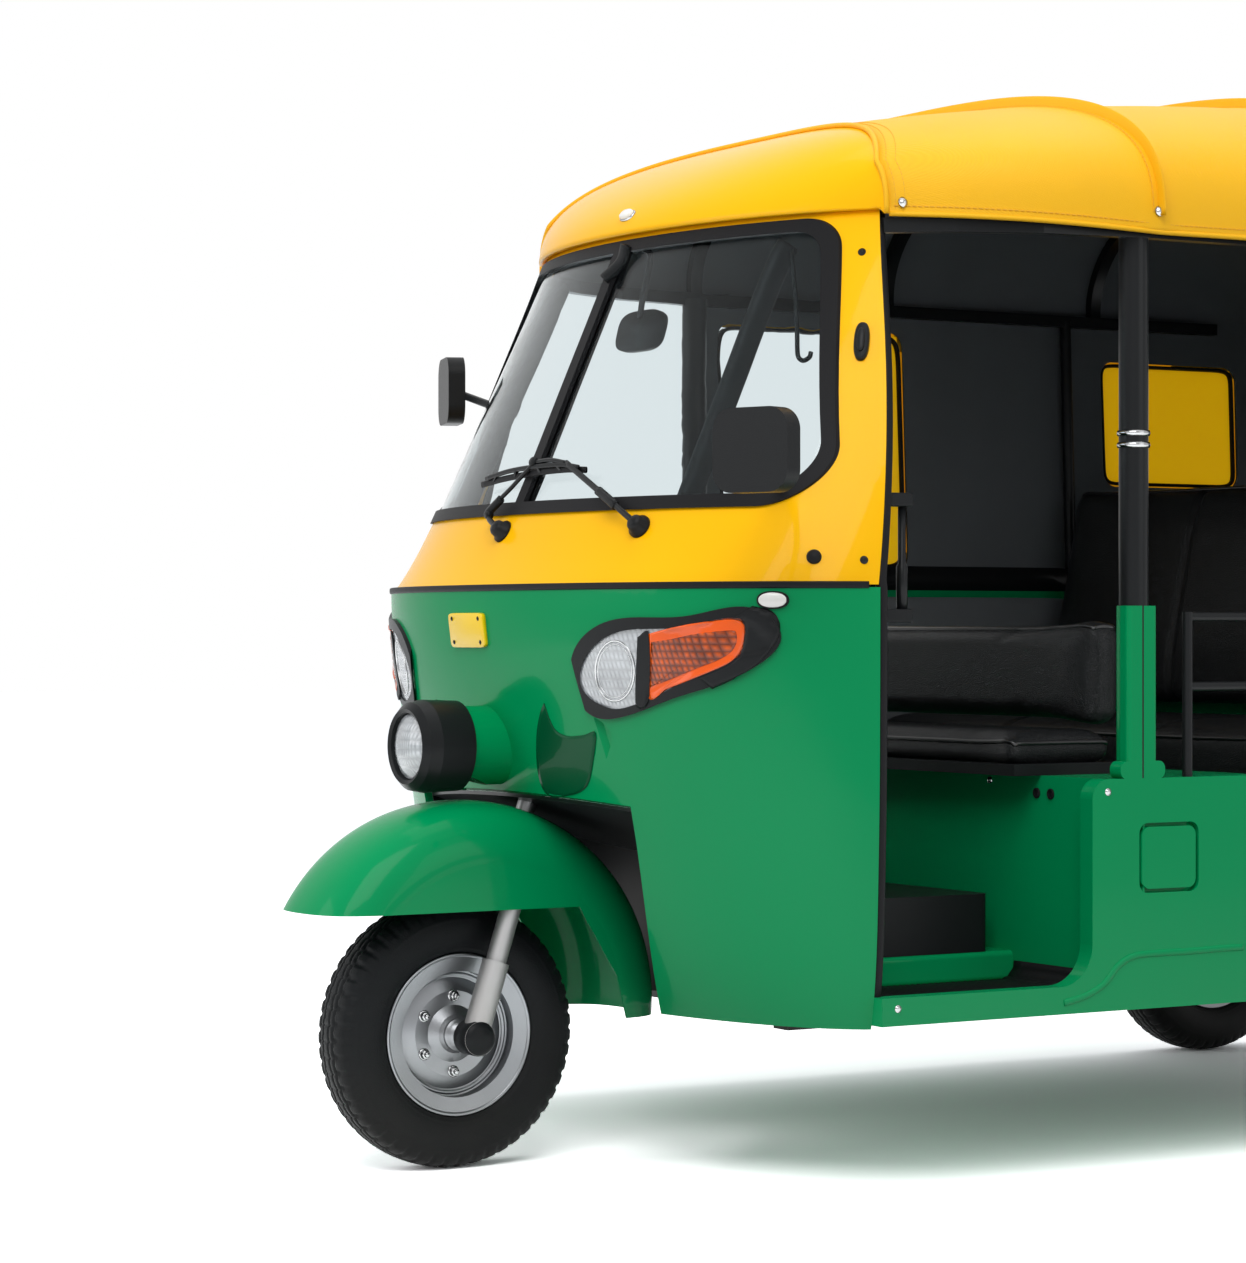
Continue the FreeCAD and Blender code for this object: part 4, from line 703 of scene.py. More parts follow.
class Finishes:
    """Every finish on the vehicle."""

    green = Finish("gloss green paint", "green_paint", (0.0, 0.29, 0.095), 0.24, coat=0.12, specular=0.05,
                   relief=Relief(Effect.RIPPLE, 260.0, 0.00006), mottle=0.05, dust=0.12, dust_top=0.35)
    # painted shade: a darker green for the sheet that is laid in the scoops below the corner lamps, standing in for
    # the recess's shading
    deep_green = Finish("painted shade green paint", "green_paint", (0.0, 0.075, 0.026), 0.3, coat=0.1, specular=0.05,
                        relief=Relief(Effect.RIPPLE, 260.0, 0.00006), mottle=0.05)
    yellow = Finish("gloss yellow paint", "yellow_paint", (0.98, 0.50, 0.002), 0.24, coat=0.12, specular=0.05,
                    relief=Relief(Effect.RIPPLE, 260.0, 0.00006), mottle=0.04)
    plate_yellow = Finish("plate yellow", "yellow_paint", (0.98, 0.64, 0.0), 0.3, coat=0.3, specular=0.3,
                          relief=Relief(Effect.RIPPLE, 300.0, 0.00005))
    canvas = Finish("yellow hood canvas", "canvas", (0.95, 0.50, 0.006), 0.48, specular=0.3,
                    relief=Relief(Effect.WEAVE, 2600.0, 0.00035, 0.08), mottle=0.12)
    # painted light: the blind glows a little in its own colour, standing in for daylight that shines through the
    # canvas; it is no lamp
    blind = Finish("yellow window blind", "canvas", (0.95, 0.47, 0.004), 0.5, specular=0.3,
                   relief=Relief(Effect.WEAVE, 2600.0, 0.0003), mottle=0.2, subsurface=0.8, painted_glow=0.28)
    lining = Finish("dark hood lining", "dark_lining", (0.15, 0.16, 0.17), 0.75, specular=0.2,
                    relief=Relief(Effect.WEAVE, 2200.0, 0.0003), mottle=0.25)
    leather = Finish("black seat leather", "seat_vinyl", (0.008, 0.009, 0.010), 0.36, specular=0.24,
                     relief=Relief(Effect.PEBBLE, 330.0, 0.0005, 0.2), mottle=0.3)
    plastic = Finish("black moulded plastic", "black_plastic", (0.011, 0.012, 0.013), 0.35, specular=0.12,
                     relief=Relief(Effect.RIPPLE, 700.0, 0.0002), mottle=0.2)
    satin_black = Finish("satin black paint", "black_paint", (0.011, 0.012, 0.013), 0.30, specular=0.15,
                         relief=Relief(Effect.RIPPLE, 300.0, 0.0001), dust=0.5, dust_top=0.45)
    rubber = Finish("black rubber", "black_rubber", (0.008, 0.008, 0.009), 0.50, specular=0.12,
                    relief=Relief(Effect.RIPPLE, 500.0, 0.0002), mottle=0.2)
    tyre = Finish("tyre rubber", "tyre_rubber", (0.007, 0.008, 0.009), 0.50, specular=0.12,
                  relief=Relief(Effect.RIPPLE, 420.0, 0.0004), mottle=0.3, mottle_scale=12.0, dust=0.06,
                  dust_top=0.3)
    silver = Finish("silver wheel paint", "silver_paint", (0.20, 0.21, 0.225), 0.30, metallic=0.9, coat=0.2,
                    relief=Relief(Effect.RIPPLE, 400.0, 0.00012), mottle=0.15, dust=0.3, dust_top=0.4)
    chrome = Finish("bright chrome", "grey_steel", (0.36, 0.365, 0.37), 0.16, metallic=1.0,
                    relief=Relief(Effect.STREAK, 60.0, 0.00008))
    steel = Finish("dull steel", "grey_steel", (0.32, 0.32, 0.33), 0.42, metallic=0.9,
                   relief=Relief(Effect.STREAK, 80.0, 0.0003), mottle=0.3, dust=0.6, dust_top=0.6)
    cast = Finish("cast aluminium", "engine_metal", (0.28, 0.28, 0.29), 0.55, metallic=0.8,
                  relief=Relief(Effect.RIPPLE, 300.0, 0.0008), mottle=0.4, dust=0.7, dust_top=0.8)
    glass = Finish("windscreen glass", "clear_glass", (0.70, 0.78, 0.80), 0.0, transmission=1.0, ior=1.2,
                   mottle=0.0)
    clear_lens = Finish("clear ribbed lens", "clear_lens", (0.50, 0.53, 0.56), 0.10, coat=1.0,
                        relief=Relief(Effect.RIBS, 0.0055, 0.0009, 0.35), mottle=1.1, mottle_scale=24.0)
    amber = Finish("amber ribbed lens", "amber_lens", (0.62, 0.085, 0.0), 0.10, coat=0.3, specular=0.2,
                   relief=Relief(Effect.RIBS, 0.0042, 0.0012, 0.75), mottle=2.4, mottle_scale=48.0)
    amber_rim = Finish("bright amber plastic", "amber_lens", (0.98, 0.115, 0.0), 0.12, coat=0.3, specular=0.2,
                       relief=Relief(Effect.RIPPLE, 90.0, 0.0002), mottle=0.3, mottle_scale=20.0)
    red = Finish("red ribbed lens", "red_lens", (0.62, 0.008, 0.006), 0.12, coat=0.3, specular=0.2,
                 relief=Relief(Effect.RIBS, 0.010, 0.002, 0.5), mottle=0.5, mottle_scale=26.0)
    pearl = Finish("pearl lamp plastic", "clear_lens", (0.82, 0.82, 0.78), 0.25, coat=0.6)
    mirror = Finish("mirror glass", "grey_steel", (0.85, 0.86, 0.87), 0.03, metallic=1.0, mottle=0.0)
    piping = Finish("black seat piping", "seat_vinyl", (0.010, 0.010, 0.011), 0.3,
                    relief=Relief(Effect.RIPPLE, 600.0, 0.0001))
    thread = Finish("pale stitching", "canvas", (0.80, 0.42, 0.03), 0.7)


FINISH = Finishes()


def dress(obj: Piece, finish: Finish, body: Body = Body.BODY) -> Piece:
    """Gives a new piece its finish and its body."""
    obj.data.materials.clear()
    obj.data.materials.append(finish.material())
    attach(obj, body.value)
    LOG.info("piece %s rides on %s", obj.name, body.value)
    return obj


def repaint(node: str, finish: Finish) -> None:
    """Gives a CAD node a finish."""
    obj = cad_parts[node]
    for slot in obj.material_slots:
        slot.link = "OBJECT"
        slot.material = finish.material()


def coordinates(obj: Piece) -> Array:
    """The mesh's points, one row each."""
    out = np.empty(len(obj.data.vertices) * 3)
    obj.data.vertices.foreach_get("co", out)
    return out.reshape(-1, 3)


def move_to(obj: Piece, points: Array) -> None:
    """Puts the mesh's points at new places."""
    obj.data.vertices.foreach_set("co", np.asarray(points, dtype=float).ravel())
    obj.data.update()


def blocks(name: str, centres: Array, a: Array, b: Array, c: Array) -> Piece:
    """Many small boxes in one mesh, such as stitches, lugs or facets.

    Args:
        name: the piece's name.
        centres: the middle of each box, one row each.
        a: each box's half length as a vector.
        b: each box's half width as a vector.
        c: each box's half height as a vector.

    Returns:
        The mesh of all the boxes.
    """
    signs = np.array([(i, j, k) for i in (-1, 1) for j in (-1, 1) for k in (-1, 1)], dtype=float)
    points = (centres[:, None] + signs[None, :, 0, None] * a[:, None] + signs[None, :, 1, None] * b[:, None]
              + signs[None, :, 2, None] * c[:, None])
    quads = np.array([(0, 1, 3, 2), (4, 6, 7, 5), (0, 4, 5, 1), (2, 3, 7, 6), (0, 2, 6, 4), (1, 5, 7, 3)])
    faces = (quads[None] + 8 * np.arange(len(centres))[:, None, None]).reshape(-1, 4)
    return weld(make_object(name, points.reshape(-1, 3), faces, smooth=False))


def stitches(name: str, path: Array, normal: Array, pitch: float = 0.009, length: float = 0.006,
             width: float = 0.0011) -> Piece:
    """A row of thread stitches that follows a line of points.

    Args:
        name: the piece's name.
        path: the line's points.
        normal: the way out of the cloth at each point.
        pitch: from one stitch to the next.
        length: of one stitch.
        width: of the thread.

    Returns:
        The stitches as one mesh.
    """
    run = np.concatenate([[0.0], np.cumsum(np.linalg.norm(np.diff(path, axis=0), axis=1))])
    at = np.arange(pitch, run[-1] - pitch, pitch)
    centres = np.stack([np.interp(at, run, path[:, i]) for i in range(3)], axis=-1)
    out = unit(np.stack([np.interp(at, run, normal[:, i]) for i in range(3)], axis=-1))
    ahead = np.stack([np.interp(at + 0.001, run, path[:, i]) for i in range(3)], axis=-1)
    along = unit(ahead - centres)
    side = unit(np.cross(out, along))
    return blocks(name, centres, along * length / 2, side * width / 2, out * width / 2)


@dataclass(frozen=True)
class Cushion:
    """One stuffed seat piece: the CAD node that it stands for, and the box that its cover starts from."""

    name: str
    node: str
    low: tuple[float, float, float]
    high: tuple[float, float, float]
    rounding: float
    swell: float = 0.012
    lean: float = 0.0
    seams: tuple[float, ...] = ()
    fill: float = 0.8


@dataclass
class Seats:
    """The driver's bench and roll and the passengers' bench and back, in black leather."""

    cell: float = 0.014
    seam_depth: float = 0.006
    seam_width: float = 0.007
    piping: float = 0.0036
    pressure: float = 4.0
    frames: int = 20
    cushions: tuple[Cushion, ...] = (
        Cushion("driver_bench_pad", "driver_cushion", (-0.492, 0.724, 0.625), (0.492, 0.926, 0.664), 0.020, 0.010),
        Cushion("driver_back_roll", "driver_bolster", (-0.492, 0.876, 0.680), (0.492, 0.942, 0.846), 0.030, 0.010),
        Cushion("passenger_bench_pad", "passenger_cushion", (-0.597, 1.210, 0.564), (0.597, 1.692, 0.668), 0.034,
                0.013, seams=(-0.2, 0.2)),
        Cushion("passenger_back_pad", "passenger_backrest", (-0.587, 1.600, 0.694), (0.587, 1.672, 1.118), 0.030,
                0.012, lean=math.radians(12.0), seams=(-0.2, 0.2)))

    def cover(self, cushion: Cushion) -> tuple[Piece, Array]:
        """The unstuffed cover: a box of even cells whose edges are rounded.

        Each point q of the box moves to c + r * unit(q - c), c being q held inside the box shrunk by r.

        Args:
            cushion: which one.

        Returns:
            The cover, and the points of its upper seam in order round it.
        """
        low, high = np.array(cushion.low), np.array(cushion.high)
        counts = np.maximum(np.round((high - low) / self.cell).astype(int), 3)
        points, faces, start = [], [], 0
        for axis in range(3):
            i, j = [k for k in range(3) if k != axis]
            u, v = np.linspace(low[i], high[i], counts[i] + 1), np.linspace(low[j], high[j], counts[j] + 1)
            uu, vv = np.meshgrid(u, v, indexing="ij")
            for level in (low[axis], high[axis]):
                sheet = np.empty(uu.shape + (3,))
                sheet[..., i], sheet[..., j], sheet[..., axis] = uu, vv, level
                points.append(sheet.reshape(-1, 3))
                faces.append(grid_faces(*uu.shape, start=start))
                start += uu.size
        q = np.concatenate(points)
        obj = weld(make_object(cushion.name, self.rounded(cushion, q), np.concatenate(faces)))
        edge = self.upper_edge(low, high, counts)
        return obj, self.rounded(cushion, edge)

    @staticmethod
    def rounded(cushion: Cushion, q: Array) -> Array:
        """Moves points of the sharp box onto the rounded one."""
        low, high = np.array(cushion.low) + cushion.rounding, np.array(cushion.high) - cushion.rounding
        core = np.clip(q, np.minimum(low, high), np.maximum(low, high))
        return core + cushion.rounding * unit(q - core)

    @staticmethod
    def upper_edge(low: Array, high: Array, counts: Array) -> Array:
        """The box's upper rim, in order."""
        x, y = np.linspace(low[0], high[0], counts[0] + 1), np.linspace(low[1], high[1], counts[1] + 1)
        flat = np.concatenate([np.stack([x[:-1], np.full(len(x) - 1, low[1])], 1),
                               np.stack([np.full(len(y) - 1, high[0]), y[:-1]], 1),
                               np.stack([x[:0:-1], np.full(len(x) - 1, high[1])], 1),
                               np.stack([np.full(len(y) - 1, low[0]), y[:0:-1]], 1)])
        return np.column_stack([flat, np.full(len(flat), high[2])])

    def stuff(self, obj: Piece, cap: float) -> None:
        """Swells the cover by cloth simulation under inner pressure, holding each point within the cap.

        Args:
            obj: the cover.
            cap: the farthest that a point may move.
        """
        before = coordinates(obj)
        cloth = obj.modifiers.new("stuffing", "CLOTH")
        cloth.settings.use_pressure = True
        cloth.settings.uniform_pressure_force = self.pressure
        cloth.settings.effector_weights.gravity = 0.0
        cloth.collision_settings.use_collision = False
        for step in range(1, self.frames + 1):
            bpy.context.scene.frame_set(step)
        shaped = obj.evaluated_get(bpy.context.evaluated_depsgraph_get())
        after = coordinates(shaped)
        obj.modifiers.remove(cloth)
        bpy.context.scene.frame_set(1)
        travel = after - before
        length = np.linalg.norm(travel, axis=1, keepdims=True)
        move_to(obj, before + travel * np.minimum(1.0, cap / np.maximum(length, 1e-9)))

    def sew(self, obj: Piece, cushion: Cushion) -> None:
        """Subdivides the cover once and presses the sewn channels in along the normals."""
        smoother = obj.modifiers.new("smooth", "SUBSURF")
        smoother.levels = smoother.render_levels = 1
        points = coordinates(applied(obj))
        normals = np.empty(len(points) * 3)
        obj.data.vertices.foreach_get("normal", normals)
        press = np.zeros(len(points))
        for seam in cushion.seams:
            press += self.seam_depth * np.exp(-((points[:, 0] - seam) / self.seam_width) ** 2)
        move_to(obj, points - press[:, None] * normals.reshape(-1, 3))

    def tilt(self, points: Array, cushion: Cushion) -> Array:
        """Leans points back about the cushion's lower front edge, then counts them in the frame."""
        y, z = points[:, 1] - cushion.low[1], points[:, 2] - cushion.low[2]
        c, s = math.cos(cushion.lean), math.sin(cushion.lean)
        return np.stack([points[:, 0], LAYOUT.along(cushion.low[1] + y * c + z * s), cushion.low[2] - y * s + z
                         * c], axis=-1)

    def build(self) -> None:
        """Makes, stuffs and pipes each cushion."""
        for cushion in self.cushions:
            obj, rim = self.cover(cushion)
            self.stuff(obj, cushion.swell)
            rim = self.on_cover(obj, rim)
            self.sew(obj, cushion)
            move_to(obj, self.tilt(coordinates(obj), cushion))
            obj.data.polygons.foreach_set("use_smooth", [True] * len(obj.data.polygons))
            dress(obj, FINISH.leather)
            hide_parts(cushion.node)
            cord = swept(cushion.name + "_piping", self.tilt(rim, cushion), circle(self.piping, 10), closed=True)
            dress(cord, FINISH.piping)

    @staticmethod
    def on_cover(obj: Piece, rim: Array) -> Array:
        """Moves the rim to the nearest places on the stuffed cover."""
        tree = BVHTree.FromPolygons([v.co for v in obj.data.vertices],
                                    [list(p.vertices) for p in obj.data.polygons])
        return np.array([tree.find_nearest(Vector(p))[0] for p in rim])


@dataclass
class Hood:
    """The yellow canvas hood as one sheet: roof, right wall, rear quarter and tail, with hems and seams."""

    power: float = 2.9
    thick: float = 0.005
    cloth_thick: float = 0.0022
    probe_up: float = 0.030
    probe_run: tuple = (0.70, 2.27, 60)
    hem_cord: float = 0.0042
    hem_rows: tuple[float, ...] = (0.012, 0.024)
    band: tuple = (0.0012, 0.016, 3.0, 12)
    band_row: float = 0.011
    binding: tuple = (0.0035, 0.009, 2.6, 14)
    screw_rows: tuple[float, ...] = (0.487, 0.860, 1.300, 1.800)
    cup_screw: Rows = ((-0.002, 0.0), (-0.002, 0.008), (0.0015, 0.0085), (0.003, 0.006), (0.0045, 0.005),
                       (0.0055, 0.0025), (0.0058, 0.0))
    tail_steps: tuple[float, ...] = (0.012, 0.03, 0.06, 0.12, 0.2, 0.3, 0.4, 0.5, 0.6, 0.7, 0.8, 0.9, 1.0)
    tail_bow: tuple[float, ...] = (0.003, 0.0055, 0.0065, 0.007, 0.0075, 0.008, 0.008, 0.008, 0.008, 0.0075, 0.007,
                                   0.0065, 0.006)
    lift: float = 0.0036
    ridge: float = 0.0022
    foot_half: float = 0.652
    foot_z: float = 0.905
    hem_z: float = 1.430
    hem_rise: float = 0.020
    wall_front: float = 0.872
    quarter: float = 1.700
    front: float = 0.466
    tail: float = 2.282
    seam_centre: float = 0.360
    seam_half: float = 0.560
    seam_depth: float = 0.222
    side_window: tuple[float, ...] = (0.925, 1.338, 0.950, 1.390)
    quarter_window: tuple[float, ...] = (1.829, 2.160, 1.120, 1.355)
    tail_window: tuple[float, ...] = (0.330, 1.090, 1.330)
    bows: tuple[float, ...] = (0.860, 1.300, 1.800)
    arch_columns: int = 84
    sections: Rows = ((0.240, 0.500, 1.446, 1.560), (0.400, 0.508, 1.448, 1.592), (0.470, 0.516, 1.450, 1.605),
                      (0.560, 0.578, 1.448, 1.622), (0.680, 0.632, 1.444, 1.643), (0.860, 0.663, 1.438, 1.667),
                      (1.300, 0.675, 1.430, 1.700), (1.800, 0.676, 1.425, 1.700), (2.100, 0.672, 1.420, 1.668),
                      (2.220, 0.664, 1.410, 1.620), (2.282, 0.652, 1.395, 1.550))

    def __post_init__(self) -> None:
        """Prepares the smooth run of half width, shoulder and crown along the hood."""
        self.run = curve(self.sections, 24)
        self.more = {1: (np.array([0.0]), np.array([0.0])), 3: (np.array([0.0]), np.array([0.0]))}
        self.more = self.measured(Shell(["hood_canvas"]))

    def section(self, y: Array) -> tuple[Array, Array, Array]:
        """Half width, shoulder height and crown height at each distance behind the front axle."""
        half, shoulder, crown = (np.interp(y, self.run[:, 0], self.run[:, i]) for i in (1, 2, 3))
        return half + np.interp(y, *self.more[1]), shoulder, crown + np.interp(y, *self.more[3])

    def measured(self, shell: Shell) -> dict[int, tuple[Array, Array]]:
        """How far the CAD canvas differs from the smooth run, by rays from above and from the side.

        A side ray at height h above the shoulder meets the arch at x, so that
        half = x / (1 - (h / rise)^power)^(1/power), less the canvas' thickness.

        Args:
            shell: the CAD canvas.

        Returns:
            For half width and crown, the stations and what to add there.
        """
        up = self.probe_up
        y = np.linspace(*self.probe_run)
        crown = np.array([shell.hit(LAYOUT.point(0.0, at, 3.0), (0, 0, -1))[0][2] for at in y])
        more_crown = crown - self.thick - self.section(y)[2]
        half, shoulder, top = self.section(y)
        side = np.array([shell.hit(LAYOUT.point(3.0, at, base + up), (-1, 0, 0))[0][0] for at,
                         base in zip(y, shoulder)])
        share = (1 - (up / (top + more_crown + self.thick - shoulder)) ** self.power) ** (1 / self.power)
        more_half = side / share - self.thick - half
        stations = np.concatenate([[self.front], y])
        return {1: (stations, np.concatenate([[0.0], more_half])),
                3: (stations, np.concatenate([[0.0], more_crown]))}

    def arch(self, y: Array, t: Array, grow: float = 0.0) -> Array:
        """Points of the roof: x = half * cos(t)^(2/power), z = shoulder + rise * sin(t)^(2/power).

        Args:
            y: distance behind the front axle of each point.
            t: angle round the arch, 0 at the left shoulder and pi at the right one.
            grow: how far outside the CAD surface.

        Returns:
            The points, counted behind the front axle.
        """
        half, shoulder, crown = self.section(y)
        c, s = np.cos(t), np.abs(np.sin(t))
        out = self.lift + grow + self.print_through(y)
        x = (half + out) * np.sign(c) * np.abs(c) ** (2 / self.power)
        z = shoulder + (crown + out - shoulder) * s ** (2 / self.power)
        return np.stack([x, y + 0 * t, z], axis=-1)

    def print_through(self, y: Array) -> Array:
        """How far each bow lifts the canvas that is drawn over it."""
        return sum(self.ridge * np.exp(-((y - bow) / 0.030) ** 2) for bow in self.bows)

    def seam_y(self, t: Array) -> Array:
        """Where the canvas starts behind the painted cap: an ellipse in plan, or straight across lower down."""
        y = np.full_like(t, self.front)
        for _ in range(12):
            x = self.arch(y, t)[..., 0]
            inside = np.clip(1 - (x / self.seam_half) ** 2, 0, 1)
            y = 0.5 * y + 0.5 * np.maximum(self.front, self.seam_centre + self.seam_depth * np.sqrt(inside))
        return y

    def wall(self, y: Array, z: Array, lift: float) -> Array:
        """How far out the lower wall stands: straight from its foot to the shoulder, and lifted off."""
        half, shoulder, _ = self.section(y)
        return self.foot_half + (half - self.foot_half) * (z - self.foot_z) / (shoulder - self.foot_z) + lift

    def hem(self, y: Array) -> Array:
        """Height of the lower edge beside the doorway and the passengers."""
        return self.hem_z + self.hem_rise * np.clip((self.wall_front - y) / (self.wall_front - self.front), 0, 1)

    @staticmethod
    def levels(*stops: tuple[float, int]) -> Array:
        """Stations from stop to stop, each with the number of steps that lead to it."""
        out = [np.array([stops[0][0]])]
        for (a, _), (b, steps) in zip(stops, stops[1:]):
            out.append(np.linspace(a, b, steps + 1)[1:])
        return np.concatenate(out)

    def grid(self) -> tuple[Array, Array]:
        """The sheet's points by row and column, and which of its faces are cloth.

        Columns run from the foot of the left wall over the roof to the foot of the right wall; rows run from
        the cap's seam to the tail and then inwards to the tail window.

        Returns:
            The points and the mask of the faces.
        """
        rows = self.levels((self.front, 0), (self.wall_front, 22), (0.925, 4), (1.338, 22), (self.quarter, 20),
                           (1.829, 8), (2.160, 18), (self.tail, 10))
        heights = self.levels((self.foot_z, 0), (0.950, 3), (1.120, 9), (1.355, 13), (1.390, 2), (self.hem_z, 3))
        t = np.linspace(0, math.pi, self.arch_columns + 1)
        start = self.seam_y(t)
        share = (rows - self.front) / (self.tail - self.front)
        y_roof = start[None] + share[:, None] * (self.tail - start)[None]
        roof = self.arch(y_roof, np.broadcast_to(t, y_roof.shape))
        half, shoulder, _ = self.section(rows)
        out = self.lift + self.print_through(rows)
        z = np.where(heights[None] >= self.hem_z - 1e-9, self.hem(rows)[:, None], heights[None])
        rise = (z - self.foot_z) / (shoulder[:, None] - self.foot_z)
        x = self.foot_half + (half[:, None] - self.foot_half) * rise + out[:, None]
        y_wall = np.broadcast_to(rows[:, None], z.shape)
        height = np.clip((z - self.foot_z) / (self.hem_z - self.foot_z), 0, 1)
        puff = 0.004 * np.sin(math.pi * height) * np.abs(np.sin(y_wall * 9.0))
        left = np.stack([x + puff, y_wall, z], axis=-1)
        right = Side.RIGHT.mirror(left)[:, ::-1]
        points = np.concatenate([left, roof, right], axis=1)
        points = np.concatenate([points, self.tail_rows(points[-1])], axis=0)
        return points, self.cloth(points, len(rows), len(heights))

    def tail_rows(self, rim: Array) -> Array:
        """Rows that close the tail from its rim in to the window, bowed out a little.

        Args:
            rim: the last row of the shell.

        Returns:
            The further rows.
        """
        half, low, high = self.tail_window
        x, z = rim[:, 0], rim[:, 2]
        side = np.sign(x) + (x == 0)
        knee = self.foot_z + 0.030
        rising = np.clip((z - self.foot_z) / (knee - self.foot_z), 0, 1)
        lower = np.clip((z - knee) / (low - knee), 0, 1)
        on_arch = z > high
        inner_x = np.where(on_arch, np.clip(x / 0.56, -1, 1) * half, side * half * lower)
        inner_z = np.where(on_arch, high, np.where(z < low, self.foot_z + (low - self.foot_z) * rising, z))
        steps = np.array(self.tail_steps)[:, None]
        px = x[None] + (inner_x - x)[None] * steps
        pz = z[None] + (inner_z - z)[None] * steps
        py = np.broadcast_to(self.tail + np.array(self.tail_bow)[:, None], px.shape)
        return np.stack([px, py, pz], axis=-1)

    def cloth(self, points: Array, shell_rows: int, wall_columns: int) -> Array:
        """Which faces of the grid are cloth: not the doorways, the open left side or the windows.

        Args:
            points: the sheet's grid.
            shell_rows: how many rows lie ahead of the tail.
            wall_columns: how many columns each lower wall has.

        Returns:
            One truth value for each face.
        """
        middle = 0.25 * (points[:-1, :-1] + points[1:, :-1] + points[:-1, 1:] + points[1:, 1:])
        y, z = middle[..., 1], middle[..., 2]
        keep = np.ones(y.shape, dtype=bool)
        shell = np.arange(y.shape[0])[:, None] < shell_rows - 1
        left = np.arange(y.shape[1])[None] < wall_columns - 1
        right = np.arange(y.shape[1])[None] >= y.shape[1] - (wall_columns - 1)
        keep &= ~(shell & left & (y < self.quarter))
        keep &= ~(shell & right & (y < self.wall_front))
        for y0, y1, z0, z1 in (self.side_window, self.quarter_window):
            keep &= ~(shell & right & (y > y0) & (y < y1) & (z > z0) & (z < z1))
        return keep

    def sheet(self) -> Piece:
        """The canvas itself, one skin 2.2 mm thick."""
        points, keep = self.grid()
        rows, cols = points.shape[:2]
        flat = LAYOUT.framed(points.reshape(-1, 3))
        faces = grid_faces(rows, cols).reshape(rows - 1, cols - 1, 4)[keep]
        used, faces = np.unique(faces, return_inverse=True)
        obj = make_object("hood_sheet", flat[used], faces.reshape(-1, 4)[:, ::-1])
        weld(obj)
        self.area = sum(p.area for p in obj.data.polygons)
        dress(thickened(obj, self.cloth_thick, 0.0), FINISH.canvas)
        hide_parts("hood_canvas")
        return obj

    def out_of(self, path: Array) -> Array:
        """The way out of the roof at the points of a line across it."""
        middle = np.array([0.0, 0.0, 1.05])
        away = path - middle
        away[:, 1] = 0.0
        return unit(away * np.array([0.35, 1.0, 1.0]))

    def trim(self) -> list[Piece]:
        """The stitched front hem, the seams over the bows, the tail welt and the window bindings.

        Returns:
            The pieces of the trim.
        """
        t = np.linspace(0.0, math.pi, 161)
        made = []
        start = self.seam_y(t)
        edge = LAYOUT.framed(self.arch(start, t, 0.0008))
        made.append(dress(swept("hood_front_hem", edge, circle(self.hem_cord, 10)), FINISH.canvas))
        for number, back in enumerate(self.hem_rows):
            line = LAYOUT.framed(self.arch(start + back, t, 0.0016))
            made.append(dress(stitches("hood_hem_stitches_%d" % number, line, self.out_of(line)), FINISH.thread))
        for number, bow in enumerate(self.bows):
            tt = np.linspace(0.02, math.pi - 0.02, 141)
            line = LAYOUT.framed(self.arch(np.full_like(tt, bow), tt, 0.0014))
            made.append(dress(swept("hood_seam_%d" % number, line, oval(*self.band)), FINISH.canvas))
            for side in (-1, 1):
                row = LAYOUT.framed(self.arch(np.full_like(tt, bow + side * self.band_row), tt, 0.0030))
                made.append(dress(stitches("hood_seam_%d_stitches_%s" % (number, "ab"[side > 0]), row,
                                           self.out_of(row)), FINISH.thread))
        rim = np.full_like(t, self.tail + 0.001)
        welt = LAYOUT.framed(self.arch(rim, t, 0.0012))
        foot = np.array([[0.6565, self.tail, 0.908], [0.6565, self.tail, 1.15]])
        left, right = LAYOUT.framed(foot), LAYOUT.framed(foot * np.array([-1.0, 1.0, 1.0]))[::-1]
        made.append(dress(swept("hood_tail_welt", np.vstack([left, welt, right]), circle(0.0045, 10)),
                          FINISH.canvas))
        return made + self.bindings() + self.side_hems()

    def side_hems(self) -> list[Piece]:
        """The turned hems along the doorway and the open left side, each with its row of stitches."""
        made = []
        for side in Side:
            y = np.linspace(self.front + 0.004, self.quarter if side is Side.LEFT else self.wall_front, 60)
            z = self.hem(y)
            path = LAYOUT.framed(np.stack([side.value * self.wall(y, z, self.lift), y, z], axis=-1))
            made.append(dress(swept(side.name_of("hood_hem"), path, circle(0.0040, 10)), FINISH.canvas))
            out = np.tile(side.value * ACROSS, (len(y), 1))
            row = path + out * 0.0022 + 0.012 * UP
            made.append(dress(stitches(side.name_of("hood_hem_stitches"), row, out), FINISH.thread))
        return made

    def bindings(self) -> list[Piece]:
        """The dark bindings round the three windows."""
        made = []
        for number, (y0, y1, z0, z1) in enumerate((self.side_window, self.quarter_window)):
            loop = oval((y1 - y0) / 2, (z1 - z0) / 2, 14.0, 96)
            y, z = (y0 + y1) / 2 + loop[:, 0], (z0 + z1) / 2 + loop[:, 1]
            path = LAYOUT.framed(np.stack([-self.wall(y, z, self.lift), y, z], axis=-1))
            made.append(swept("hood_window_binding_%d" % number, path, oval(*self.binding), closed=True))
        half, low, high = self.tail_window
        loop = oval(half, (high - low) / 2, 14.0, 96)
        path = LAYOUT.framed(np.stack([loop[:, 0], np.full(len(loop), self.tail + 0.007), (low + high) / 2
                                       + loop[:, 1]], axis=-1))
        made.append(swept("hood_window_binding_tail", path, oval(*self.binding), closed=True))
        return [dress(obj, FINISH.rubber) for obj in made]

